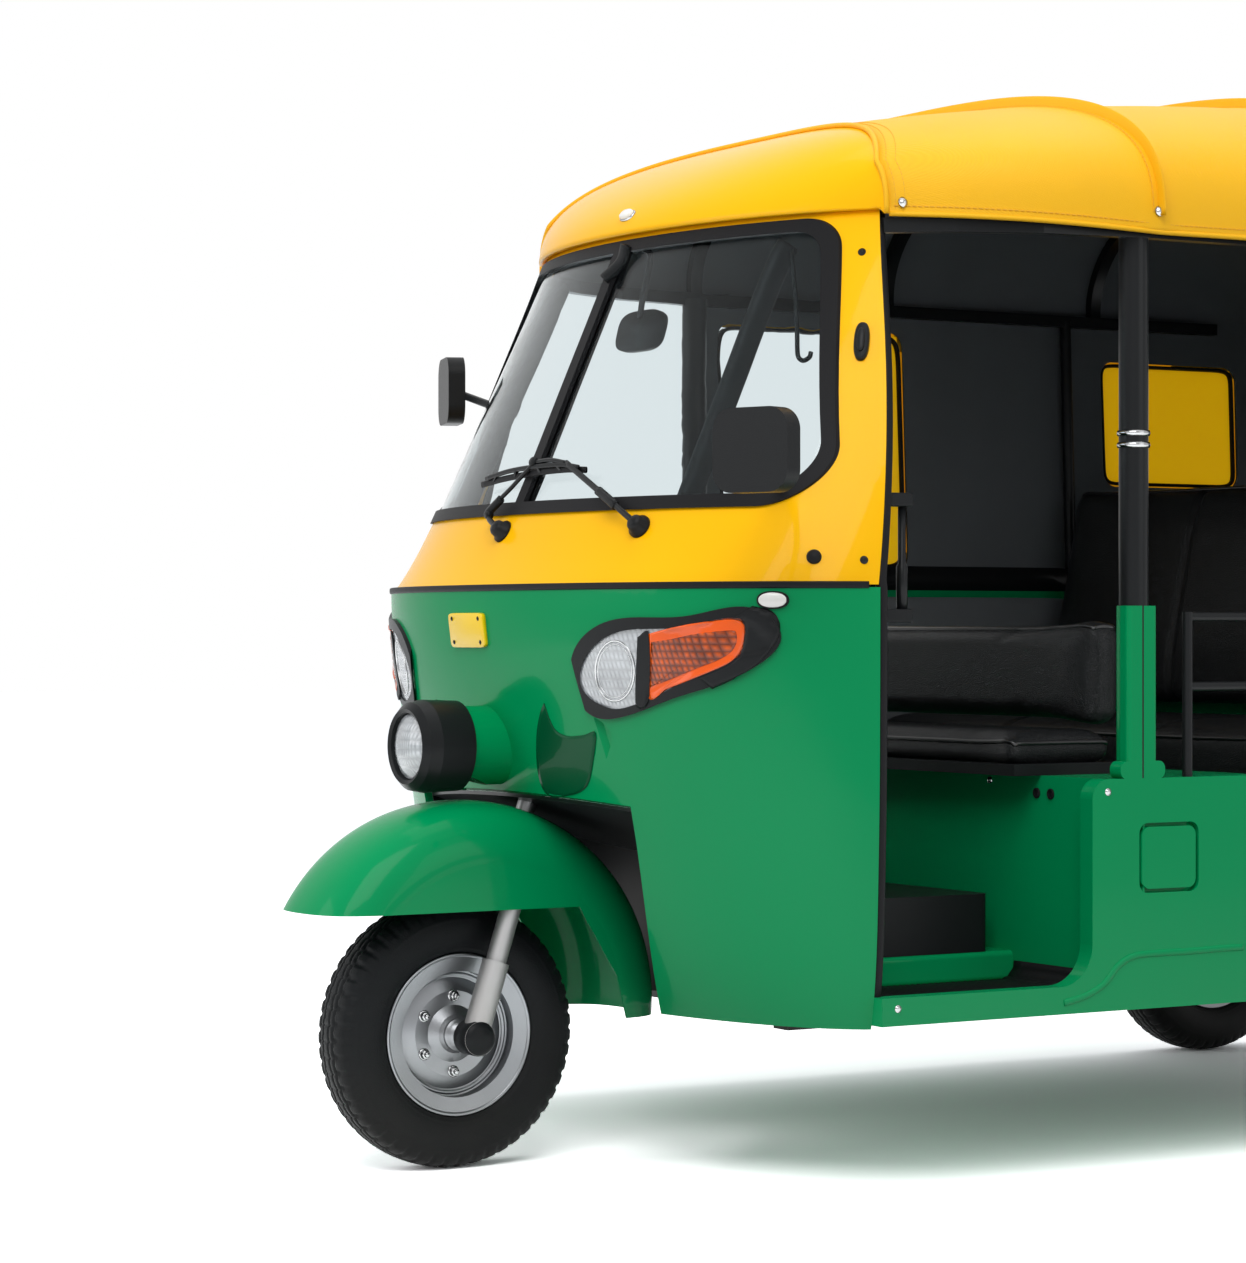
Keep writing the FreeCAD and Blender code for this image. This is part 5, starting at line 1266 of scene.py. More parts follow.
    def screws(self) -> None:
        """Chrome screws with cup washers that hold the canvas to the cab and the bows."""
        places = [(y, t) for y in self.screw_rows for t in (0.035, math.pi - 0.035)]
        for number, (y, t) in enumerate(places):
            at = LAYOUT.framed(self.arch(np.array([y]), np.array([t]), 0.002))[0]
            out = np.array([1.0 if t < 1 else -1.0, 0.0, 0.25])
            dress(lathe("hood_screw_%d" % number, self.cup_screw, at, out, 20), FINISH.chrome)

    def build(self) -> None:
        """Makes the sheet, its trim and its screws."""
        sheet = self.sheet()
        trim = self.trim()
        self.screws()
        LOG.info("canvas area %.3f m2", self.area)


class Sight:
    """Finds places on the CAD surface along the lines of sight of the photograph's camera."""

    focus: float = 3500.0
    middle: float = 623.0
    level: float = 631.5

    def __init__(self, nodes: Sequence[str], pieces: Sequence[Piece] = ()) -> None:
        """Keeps the camera and the surface of the nodes and pieces."""
        self.shell = Shell(nodes, pieces)
        self.ahead = np.array([-math.sin(CAMERA_TURN), math.cos(CAMERA_TURN), 0.0])
        self.right = np.array([math.cos(CAMERA_TURN), math.sin(CAMERA_TURN), 0.0])

    def at(self, px: float, py: float, lift: float = 0.0) -> tuple[Array, Array]:
        """The place on the surface behind a point of the picture.

        The line of sight is ahead + right * (px - middle) / focus - up * (py - level) / focus.

        Args:
            px: across the picture.
            py: down the picture.
            lift: how far off the surface to stay.

        Returns:
            The place and the surface's normal.
        """
        line = unit(self.ahead + self.right * (px - self.middle) / self.focus - UP * (py - self.level) / self.focus)
        where, normal = self.shell.hit(np.array(CAMERA_PLACE), line)
        return where + lift * normal, normal

    def line(self, pixels: Pixels, lift: float) -> Array:
        """Several places on the surface, one row each."""
        return np.array([self.at(px, py, lift)[0] for px, py in pixels])

    def patch(self, inner: Array, outer: Array, shares: Sequence[float], lift: float) -> Array:
        """Rows of places between two lines of the picture: each row is at inner + (outer - inner) * share."""
        pixels = inner + (outer - inner) * np.array(shares)[:, None, None]
        return self.line(pixels.reshape(-1, 2).tolist(), lift).reshape(len(shares), -1, 3)


def facing(normal: Array) -> tuple[Array, Array]:
    """Level and upward directions along a surface, so that across x up gives its normal."""
    across = unit(np.cross(UP, normal))
    return across, np.cross(normal, across)


def screw(name: str, at: Array, normal: Array, radius: float, sides: int = 20) -> Piece:
    """A domed screw head with its washer."""
    profile = [(-0.001, 0.0), (-0.001, radius * 1.35), (radius * 0.25, radius * 1.35), (radius * 0.3, radius),
               (radius * 0.6, radius * 0.85), (radius * 0.8, radius * 0.45), (radius * 0.86, 0.0)]
    return lathe(name, profile, at, normal, sides)


def outline_on(shell: Shell, height: float, lift: float, back: float) -> Array:
    """The cab's outline at one height from the left rear edge round the front to the right rear edge.

    Rays come in level from 1.5 m away, all round the cab's middle.

    Args:
        shell: the cab's skin.
        height: above the floor.
        lift: off the skin.
        back: where the outline ends, behind the front axle.

    Returns:
        The outline's points.
    """
    centre = LAYOUT.point(0.0, back, height)
    t = np.linspace(0.004, math.pi - 0.004, 181)
    hits = [shell.hit(centre + np.array([math.cos(a), -math.sin(a), 0.0]) * 1.5,
                      -np.array([math.cos(a), -math.sin(a), 0.0])) for a in t]
    where = np.array([hit[0] for hit in hits])
    normal = np.array([hit[1] for hit in hits])
    normal[:, 2] = 0.0
    return where + lift * unit(normal)


@dataclass
class Cap:
    """The painted cap over the windscreen, from the canvas' front hem down to the cab."""

    hood: Hood
    edge_z: float = 1.459
    edge_y: float = 0.4655
    lap: float = 0.014
    rows: int = 30
    slope: float = 0.18
    middle_y: float = 0.62
    lip: Rows = ((0.004, 0.002), (0.014, 0.001))
    wall: float = 0.0030

    @staticmethod
    def evenly(path: Array, count: int) -> Array:
        """The path cut into equal steps of its length."""
        run = np.concatenate([[0.0], np.cumsum(np.linalg.norm(np.diff(path, axis=0), axis=1))])
        at = np.linspace(0.0, run[-1], count)
        return np.stack([np.interp(at, run, path[:, i]) for i in range(3)], axis=-1)

    def surface_grid(self) -> Array:
        """The cap's skin as rows from the seam to the lower edge.

        Each column is a cubic from the seam, where it follows the roof, to the edge, where it drops:
        P = h00 * S + h10 * TS + h01 * E + h11 * TE, with the usual Hermite weights of s.

        Returns:
            The points, row by row.
        """
        t = np.linspace(0.0, math.pi, 241)
        seam = LAYOUT.framed(self.hood.arch(self.hood.seam_y(t) + self.lap * np.sin(t), t, -0.0026))
        edge = outline_on(Shell(["roof_cap"]), self.edge_z, 0.0005, self.edge_y)
        seam, edge = self.evenly(seam, 181), self.evenly(edge, 181)
        edge[:, 2] = self.edge_z
        reach = edge - seam
        flat = reach * LEVEL
        length = np.linalg.norm(flat, axis=1, keepdims=True)
        drop = seam[:, 2:] - edge[:, 2:]
        up = UP
        leave = 1.1 * flat - self.slope * length * up
        arrive = 0.25 * flat - 1.3 * drop * up
        s = np.linspace(0.0, 1.0, self.rows)[:, None, None]
        return ((2 * s ** 3 - 3 * s ** 2 + 1) * seam[None] + (s ** 3 - 2 * s ** 2 + s) * leave[None]
                + (3 * s ** 2 - 2 * s ** 3) * edge[None] + (s ** 3 - s ** 2) * arrive[None])

    def build(self) -> None:
        """Makes the cap, its lower edge turned in under it."""
        grid = self.surface_grid()
        inward = unit((LAYOUT.point(0.0, self.middle_y, 0.0) - grid[-1]) * LEVEL)
        lips = [(grid[-1] + inward * reach - drop * UP)[None] for reach, drop in self.lip]
        grid = np.concatenate([grid] + lips)
        obj = faced(surface("roof_cap_skin", grid), UP)
        dress(thickened(obj, self.wall, -1.0), FINISH.yellow)
        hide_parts("roof_cap")


@dataclass(frozen=True)
class Wheel:
    """One wheel: its tyre's node, its place, which way its dished face looks and its body."""

    label: str
    tyre: str
    x: float
    back: float
    outward: float
    body: Body

    @property
    def middle(self) -> Array:
        """The hub's middle."""
        return LAYOUT.point(self.x, self.back, LAYOUT.tyre_radius)


@dataclass
class Wheels:
    """Treaded tyres, wheel nuts, hub caps and valves."""

    lugs: int = 52
    cut: float = 0.0042
    groove_at: float = 0.0085
    ring_at: float = 0.0205
    shoulder_at: float = 0.0235
    tread_from: float = 0.176
    around: int = 52 * 9
    nut_circle: float = 0.0585
    nuts: int = 6
    wheels: tuple[Wheel, ...] = (
        Wheel("front", "front_tyre", 0.0, 0.0, 1.0, Body.FRONT_WHEEL),
        Wheel("rear_left", "rear_tyre_left", 0.575, 2.0, 1.0, Body.REAR_LEFT),
        Wheel("rear_right", "rear_tyre_right", -0.575, 2.0, -1.0, Body.REAR_RIGHT))
    half_profile: Rows = ((-0.0350, 0.1022), (-0.0392, 0.1235), (-0.0425, 0.1262), (-0.0455, 0.1300),
                          (-0.0508, 0.1420), (-0.0530, 0.1580), (-0.0515, 0.1740), (-0.0468, 0.1885),
                          (-0.0430, 0.1950), (-0.0385, 0.2000), (-0.0300, 0.2040), (-0.0150, 0.2066), (0.0, 0.2073))

    def tyre(self, wheel: Wheel) -> None:
        """The tyre: a turned section with ribs round the middle and lugs cut into both shoulders.

        Args:
            wheel: which wheel.
        """
        half = np.array(self.half_profile)
        full = np.vstack([half, (half * np.array([-1.0, 1.0]))[-2::-1]])
        section = curve(full, 7)
        step = np.linspace(0, 1, 5)[1:-1, None]
        inner = section[-1] + (section[0] - section[-1]) * step
        section = np.vstack([section, inner])
        a, r = section[:, 0][:, None], section[:, 1][:, None]
        angle = full_turn(self.around)[None]
        rr = r - self.tread_depth(a, r, angle)
        bead = 0.0008 * np.exp(-((r - 0.1335) / 0.0016) ** 2) + 0.0007 * np.exp(-((r - 0.1780) / 0.0012) ** 2)
        x = wheel.middle[0] + a + np.sign(a) * bead + 0 * angle
        points = np.stack([x, wheel.middle[1] + rr * np.cos(angle), wheel.middle[2] + rr * np.sin(angle)], axis=-1)
        obj = surface("tyre_" + wheel.label, points, wrap_rows=True, wrap_cols=True)
        dress(obj, FINISH.tyre, wheel.body)
        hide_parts(wheel.tyre)

    def tread_depth(self, a: Array, r: Array, angle: Array) -> Array:
        """How deep the tread is cut at each place: zigzag grooves and shoulder slots.

        Args:
            a: distance from the wheel's middle plane.
            r: radius of the uncut tyre.
            angle: angle round the wheel.

        Returns:
            The depth, in metres.
        """
        turn = angle * self.lugs / (2 * math.pi)
        zigzag = np.abs(2 * (turn % 1.0) - 1.0) - 0.5
        near = np.abs(a)
        ribs = np.exp(-((near - self.groove_at - 0.0035 * zigzag) / 0.0015) ** 4) * (near < 0.018)
        ring = np.exp(-((near - self.ring_at - 0.002 * zigzag) / 0.0017) ** 4)
        slot = 0.5 - 0.5 * np.tanh((np.abs((turn + 0.5 * (a > 0)) % 1.0 - 0.5) - 0.15) * 28)
        shoulder = 0.7 * np.clip((near - self.shoulder_at) / 0.002, 0, 1) * np.clip((r - 0.1820) / 0.010, 0, 1)
        sipe = 0.45 * np.exp(-(((2 * turn + 0.25) % 1.0 - 0.5) / 0.06) ** 2) * (near < 0.0195)
        depth = np.maximum(np.maximum(ribs, ring), np.maximum(slot * shoulder, sipe))
        return self.cut * depth * (r > self.tread_from)

    def fittings(self, wheel: Wheel) -> None:
        """Six nuts on their washers, the domed hub cap, the rim's rolled edge and the valve.

        Args:
            wheel: which wheel.
        """
        middle, axis = wheel.middle, np.array([wheel.outward, 0.0, 0.0])
        parts = []
        for number in range(self.nuts):
            angle = 2 * math.pi * (number + 0.5) / self.nuts
            at = middle + self.nut_circle * np.array([0.0, math.cos(angle), math.sin(angle)]) + 0.0232 * axis
            parts.append(lathe("nut", [(-0.002, 0.0), (-0.002, 0.0092), (0.0014, 0.0092), (0.0016, 0.0072)], at,
                               axis, 24))
            parts.append(lathe("nut", [(0.0010, 0.0076), (0.0078, 0.0076), (0.0088, 0.0064), (0.0088, 0.0044)], at,
                               axis, 6))
            parts.append(lathe("nut", [(0.0040, 0.0044), (0.0125, 0.0042), (0.0136, 0.0030), (0.0136, 0.0)], at,
                               axis, 16))
        dress(joined("wheel_nuts_" + wheel.label, parts), FINISH.chrome, wheel.body)
        cap = [(0.0405, 0.0262), (0.0425, 0.0262), (0.0440, 0.0245), (0.0470, 0.0215), (0.0520, 0.0180),
               (0.0555, 0.0110), (0.0568, 0.0)]
        lip = [(0.0402, 0.1180), (0.0432, 0.1192), (0.0452, 0.1222), (0.0448, 0.1248), (0.0425, 0.1252),
               (0.0405, 0.1236), (0.0395, 0.1205), (0.0402, 0.1180)]
        ring = [(0.0180, 0.0880), (0.0200, 0.0905), (0.0196, 0.0935), (0.0170, 0.0950)]
        for stem, profile, sides in (("hub_cap_", cap, 40), ("rim_edge_", lip, 96), ("rim_step_", ring, 96)):
            dress(lathe(stem + wheel.label, profile, middle, axis, sides), FINISH.silver, wheel.body)
        foot = middle + 0.0150 * axis + np.array([0.0, 0.058, 0.058]) * 1.14
        tip = foot + np.array([0.026 * wheel.outward, -0.006, -0.006])
        stem = bar("valve_" + wheel.label, [foot, foot * 0.4 + tip * 0.6, tip], 0.0032, 12, 4)
        dress(stem, FINISH.rubber, wheel.body)

    def build(self) -> None:
        """Builds all three wheels."""
        for wheel in self.wheels:
            self.tyre(wheel)
            self.fittings(wheel)


@dataclass
class Front:
    """Wipers, plate, belt line, markers, latch and the small fittings on the cab's skin."""

    wiper_base: Rows = ((-0.002, 0.0), (-0.002, 0.019), (0.004, 0.0185), (0.008, 0.014), (0.016, 0.0125),
                        (0.020, 0.009), (0.022, 0.0))
    wiper_hub: Rows = ((-0.006, 0.0), (-0.006, 0.008), (0.005, 0.008), (0.007, 0.006), (0.007, 0.0))
    plug: Rows = ((-0.002, 0.0), (-0.002, 0.0112), (0.003, 0.0108), (0.0052, 0.0075), (0.0060, 0.0))

    def __post_init__(self) -> None:
        """Keeps the surfaces that the fittings sit on."""
        self.upper = Sight(["cab_upper", "screen_rubber", "windscreen"])
        self.lower = Sight(["cab_lower"])
        self.lamps = Sight(["lamp_clear", "lamp_amber", "lamp_bezels", "cab_lower"])

    def wipers(self) -> None:
        """The two wiper arms, which meet at the hub of one long blade."""
        hub, link = self.upper.line([(544.5, 468), (576, 468.5)], 0.020)
        feet = [self.upper.at(*pixel) for pixel in ((503.5, 532), (640, 527))]
        knees = self.upper.line([(498.5, 519), (620, 508)], 0.020)
        for label, (foot, normal), knee, end in zip(("right", "left"), feet, knees, (hub, link)):
            dress(lathe("wiper_base_" + label, self.wiper_base, foot, normal, 28), FINISH.plastic)
            start = foot + 0.016 * normal
            path = curve([start, knee, knee * 0.5 + end * 0.5, end], 8)
            dress(swept("wiper_arm_" + label, path, oval(0.0032, 0.0048, 3.0, 14)), FINISH.satin_black)
            sleeve = np.array([start * 0.2 + knee * 0.8, knee, knee * 0.72 + end * 0.28])
            dress(swept("wiper_sleeve_" + label, curve(sleeve, 6), oval(0.0062, 0.0068, 3.0, 14)), FINISH.plastic)
        joint = bar("wiper_link", [hub, link * 0.5 + hub * 0.5 + np.array([0, 0, 0.004]), link], 0.0036, 12)
        dress(joint, FINISH.satin_black)
        dress(lathe("wiper_hub", self.wiper_hub, hub, self.upper.at(544.5, 468)[1], 20), FINISH.plastic)
        blade = curve(self.upper.line([(489.5, 488.5), (515, 482), (548, 476), (574, 473.5), (593, 474)], 0.014), 8)
        spine = curve(self.upper.line([(497, 484), (520, 476.5), (548, 472), (572, 470.5), (588, 473)], 0.020), 8)
        dress(swept("wiper_blade", blade, oval(0.0022, 0.0050, 2.4, 12)), FINISH.rubber)
        dress(swept("wiper_spine", spine, oval(0.0026, 0.0040, 2.4, 12)), FINISH.satin_black)
        pins = np.linspace(4, len(blade) - 5, 5).astype(int)
        middles = (blade[pins] + spine[pins]) / 2
        reach = (blade[pins] - spine[pins]) / 2
        side = unit(np.gradient(blade, axis=0)[pins])
        claws = blocks("wiper_claws", middles, reach, side * 0.003, unit(np.cross(reach, side)) * 0.003)
        dress(claws, FINISH.satin_black)

    def screen_fittings(self) -> None:
        """The clip at the head of the windscreen's middle bar and the coat hook that hangs inside the glass."""
        clip = curve(self.upper.line([(629, 247), (619, 263), (607, 281)], 0.006), 8)
        dress(swept("screen_bar_clip", clip, oval(0.0075, 0.0095, 3.2, 18)), FINISH.plastic)
        hook = curve(self.upper.line([(781, 238), (786.5, 285), (789, 322), (789, 338), (790.5, 348), (796, 351.5),
                                      (802, 348), (803.5, 343)], -0.030), 8)
        dress(swept("coat_hook", hook, circle(0.0036, 14)), FINISH.plastic)

    def plate(self) -> None:
        """The blank yellow plate with its four black screws."""
        at, normal = self.lower.at(469, 630)
        across, up = facing(normal)
        outline = oval(0.0560, 0.0270, 10.0, 72)
        board = plate("number_plate", at - 0.002 * normal, across, up, outline, 0.0075, 0.0016)
        dress(board, FINISH.plate_yellow)
        corners = [screw("screw", at + 0.0052 * normal + across * 0.0430 * i + up * 0.0185 * j, normal, 0.0026, 14)
                   for i in (-1, 1) for j in (-1, 1)]
        dress(joined("plate_screws", corners), FINISH.plastic)

    def belt(self) -> None:
        """The black rubber strip between the green and the yellow panels, standing in the gap at the belt."""
        path = outline_on(Shell(["cab_lower"]), 0.886, -0.0006, 0.350)
        path[:, 2] = 0.8945
        strip = swept("belt_strip", path, oval(0.0036, 0.0052, 3.0, 14))
        dress(strip, FINISH.rubber)

    def markers(self) -> None:
        """The oval side marker, the roof marker lamp, the door latch, the plug and two bolts."""
        low, high, roof = self.lower, self.upper, Sight([], [bpy.data.objects["roof_cap_skin"]])
        side, top, door = (773, 600), (628, 216), (862, 342)
        for name, sight, pixel, lift, outline, thickness, edge, finish in (
                ("side_marker_rim", low, side, -0.002, (0.0235, 0.0130, 2.3, 48), 0.0075, 0.002, FINISH.rubber),
                ("side_marker_lens", low, side, 0.0045, (0.0205, 0.0108, 2.2, 40), 0.0035, 0.0015, FINISH.pearl),
                ("roof_marker", roof, top, -0.003, (0.0165, 0.0095, 2.4, 40), 0.0115, 0.004, FINISH.pearl),
                ("roof_marker_base", roof, top, -0.003, (0.0190, 0.0115, 2.4, 40), 0.0060, 0.002, FINISH.chrome),
                ("door_latch", high, door, -0.002, (0.0115, 0.0310, 2.5, 48), 0.0095, 0.004, FINISH.plastic),
                ("door_latch_pull", high, door, 0.0065, (0.0060, 0.0190, 2.5, 40), 0.006, 0.003, FINISH.satin_black)):
            at, normal = sight.at(*pixel)
            dress(plate(name, at + lift * normal, *facing(normal), oval(*outline), thickness, edge), finish)
        at, normal = self.upper.at(814, 557)
        dress(lathe("cab_plug", self.plug, at, normal, 32), FINISH.rubber)
        heads = [screw("bolt", *self.upper.at(px, py), 0.0045) for px, py in ((862, 252), (864, 560))]
        dress(joined("cab_bolts", heads), FINISH.satin_black)

    def reflectors(self) -> None:
        """The two round reflector rims inside the clear part of each corner lamp."""
        t = full_turn(64)
        for number, (rx, ry, radius) in enumerate(((19.5, 30.0, 0.0016), (17.0, 26.5, 0.0008))):
            pixels = np.stack([615.0 + rx * np.cos(t), 671.0 + ry * np.sin(t)], axis=-1)
            ring = self.lamps.line(pixels.tolist(), 0.0002)
            for side in Side:
                path = side.mirror(ring)
                piece = swept("lamp_ring_%d_%s" % (number, side.name.lower()), path, circle(radius, 8), closed=True)
                dress(piece, FINISH.chrome)

    def scoop(self) -> None:
        """A dark green sheet on the floor of the scoop below each corner lamp, painted shade for the recess, its
        upper edge drawn along the fold line.
        """
        outline = curve([(544.5, 703), (540.5, 714), (537.3, 734), (537.3, 761), (540.8, 782), (547, 793.5),
                         (556, 797), (570, 795.3), (580.7, 791.7), (588.6, 783.5), (593, 764), (596, 733),
                         (584, 735), (568, 736), (556, 730), (549, 717)], 5)
        middle = np.array([562.0, 768.0])
        # painted shade: the dark green sheet is laid on the scoop's floor where the recess is in shade
        flat = self.lower.patch(middle, outline, (0.0, 0.15, 0.3, 0.45, 0.6, 0.75, 0.9, 1.0), 0.0009)
        for side in Side:
            obj = surface(side.name_of("scoop_painted_shade"), side.mirror(flat), wrap_cols=True)
            dress(thickened(obj, 0.0012, 0.0), FINISH.deep_green)

    def build(self) -> None:
        """Builds the cab's fittings."""
        self.wipers()
        self.screen_fittings()
        self.plate()
        self.belt()
        self.markers()
        self.reflectors()
        self.scoop()


@dataclass
class Doorway:
    """Seals, grab rods, floor mats, wall trim, window blinds and the small hardware about the doorways."""

    lean: float = math.radians(10.4)
    belt: float = 0.895
    back: float = 0.365
    hem: float = 0.012
    blind_lift: float = 0.0044
    bolt_pixels: Rows = ((990, 780), (898, 1009), (1143, 769), (1108, 792))
    grommet_pixels: Rows = ((1037, 793), (1051, 794))
    grommet: Rows = ((-0.001, 0.0), (-0.001, 0.0085), (0.0022, 0.0082), (0.0030, 0.0066), (0.0012, 0.0052),
                     (0.0010, 0.0))
    pillar: tuple[float, ...] = (0.6275, 0.847)
    ring_heights: tuple[float, ...] = (1.110, 1.128)
    pillar_ring: Rows = ((-0.004, 0.0226), (-0.004, 0.0246), (0.0, 0.0256), (0.004, 0.0246), (0.004, 0.0226))
    bead_pixels: Rows = ((1064, 1003), (1085, 996), (1104, 984), (1118, 966), (1134, 956), (1158, 953), (1190, 951),
                         (1225, 948), (1243, 947))
    bead_x: float = 0.6502
    rod_x: float = 0.598
    rod_y: float = 0.437
    rod_ends: tuple[float, ...] = (0.850, 1.020)
    rod: Rows = ((0.0, 0.0), (0.0, 0.0085), (0.072, 0.0085), (0.076, 0.0060), (0.168, 0.0060), (0.168, 0.0))

    def edge(self, z: Array) -> Array:
        """Where the cab's rear edge stands at each height: upright below the belt and leaning back above it."""
        return self.back + np.maximum(z - self.belt, 0.0) * math.tan(self.lean)

    def seals(self) -> None:
        """The rubber seal down the rear edge of the cab on both sides."""
        shell = Shell(["cab_lower", "cab_upper"])
        z = np.concatenate([np.linspace(0.275, 0.885, 40), np.linspace(0.905, 1.455, 40)])
        y = self.edge(z) - 0.004
        x = np.array([shell.hit(LAYOUT.point(2.0, yy, zz), (-1.0, 0.0, 0.0))[0][0] for yy, zz in zip(y, z)])
        for side in Side:
            path = LAYOUT.framed(np.stack([side.value * (x - 0.0075), y + 0.0125, z], axis=-1))
            dress(swept(side.name_of("door_seal"), path, circle(0.0085, 16)), FINISH.rubber)

    def grab_rods(self) -> None:
        """The dark upright rod with two brackets behind each door pillar."""
        for side in Side:
            x = self.rod_x * side.value
            rod = lathe(side.name_of("grab_rod"), self.rod, LAYOUT.point(x, self.rod_y, self.rod_ends[0]), UP, 24)
            dress(rod, FINISH.satin_black)
            places = np.array([LAYOUT.point(x, self.rod_y - 0.020, z) for z in self.rod_ends])
            arms = blocks(side.name_of("grab_rod_brackets"), places, *(np.tile(half, (2, 1)) for half in (
                0.032 * BACK, 0.013 * ACROSS, 0.010 * UP)))
            dress(self.softened(arms, 0.003), FINISH.plastic)

    @staticmethod
    def softened(obj: Piece, width: float) -> Piece:
        """Rounds the edges of a blocky piece."""
        bevel = obj.modifiers.new("edges", "BEVEL")
        bevel.width, bevel.segments = width, 3
        return obj

    def mats(self) -> None:
        """The ribbed rubber mat in each doorway, its rear edge turned up against the seat box.

        Height = base + rib * |sin(pi * y / pitch)|, and it rises along a quarter circle near the seat box.
        """
        y = np.linspace(0.392, 0.772, 240)
        x = np.linspace(0.428, 0.612, 8)
        yy, xx = np.meshgrid(y, x, indexing="ij")
        rise = np.clip((yy - 0.742) / 0.030, 0, 1)
        z = 0.2862 + 0.0022 * np.abs(np.sin(math.pi * yy / 0.011)) + 0.028 * (1 - np.sqrt(1 - rise ** 2))
        top = np.stack([xx, LAYOUT.along(yy), z], axis=-1)
        for side in Side:
            obj = faced(surface(side.name_of("door_mat"), side.mirror(top)), UP)
            dress(thickened(obj, 0.0010, -1.0), FINISH.rubber)

    def hardware(self) -> None:
        """Bolts and grommets of the seat box, the pillar's rings and the bead along each side."""
        sight = Sight(["driver_box", "side_left"])
        bolts = [screw("bolt", *sight.at(*pixel), 0.0042) for pixel in self.bolt_pixels]
        dress(joined("seat_box_bolts", bolts), FINISH.chrome)
        holes = [lathe("hole", self.grommet, *sight.at(*pixel), 24) for pixel in self.grommet_pixels]
        dress(joined("seat_box_grommets", holes), FINISH.rubber)
        for number, z in enumerate(self.ring_heights):
            at = LAYOUT.point(*self.pillar, z)
            dress(lathe("pillar_ring_%d" % number, self.pillar_ring, at, UP, 40), FINISH.chrome)
        line = Sight(["side_left"]).line(self.bead_pixels, 0.0)
        for side in Side:
            path = curve(line, 8)
            path[:, 0] = self.bead_x
            bead = swept(side.name_of("side_bead"), side.mirror(path), oval(0.0022, 0.0050, 2.2, 12))
            dress(bead, FINISH.green)

    def wall_rails(self) -> None:
        """The dark rail along the foot of the right canvas wall and the dark lining panel below it, which also stands
        in for the shadow there as painted shade.
        """
        y0, y1 = 0.880, 1.720
        centre = LAYOUT.point(-0.637, (y0 + y1) / 2, 0.927)
        rail = plate("wall_rail", centre, BACK, UP, oval((y1 - y0) / 2, 0.024, 16.0, 72), 0.010, 0.003)
        dress(rail, FINISH.satin_black)
        # partly a real lining panel, partly painted shade: it fills the shadow below the rail
        panel = plate("side_lining", LAYOUT.point(-0.6015, 1.30, 0.752), BACK, UP, oval(0.415, 0.140, 18.0, 72),
                      0.0018, 0.0006)
        dress(panel, FINISH.lining)

    def window_blinds(self) -> None:
        """The yellow canvas blinds that close the two right windows, following the wall and sagging a little."""
        front, rear = HOOD.side_window, HOOD.quarter_window
        for label, (y0, y1, z0, z1) in (("front", (1.292, front[1], front[2], front[3])), ("rear", rear)):
            y, z = np.linspace(y0 - self.hem, y1 + self.hem, 40), np.linspace(z0 - self.hem, z1 + self.hem, 36)
            yy, zz = np.meshgrid(y, z, indexing="ij")
            x = HOOD.wall(yy, zz, self.blind_lift)
            sag = 0.003 * np.sin(math.pi * (yy - y0) / (y1 - y0)) * np.sin(math.pi * (zz - z0) / (z1 - z0))
            points = LAYOUT.framed(np.stack([-(x + sag), yy, zz], axis=-1))
            obj = faced(surface("window_blind_" + label, points), -ACROSS)
            # the blind finish glows a little: painted light for daylight through the canvas
            dress(thickened(obj, 0.0012, 0.0), FINISH.blind)

    def build(self) -> None:
        """Builds everything about the doorways."""
        self.seals()
        self.grab_rods()
        self.mats()
        self.hardware()
        self.wall_rails()
        self.window_blinds()


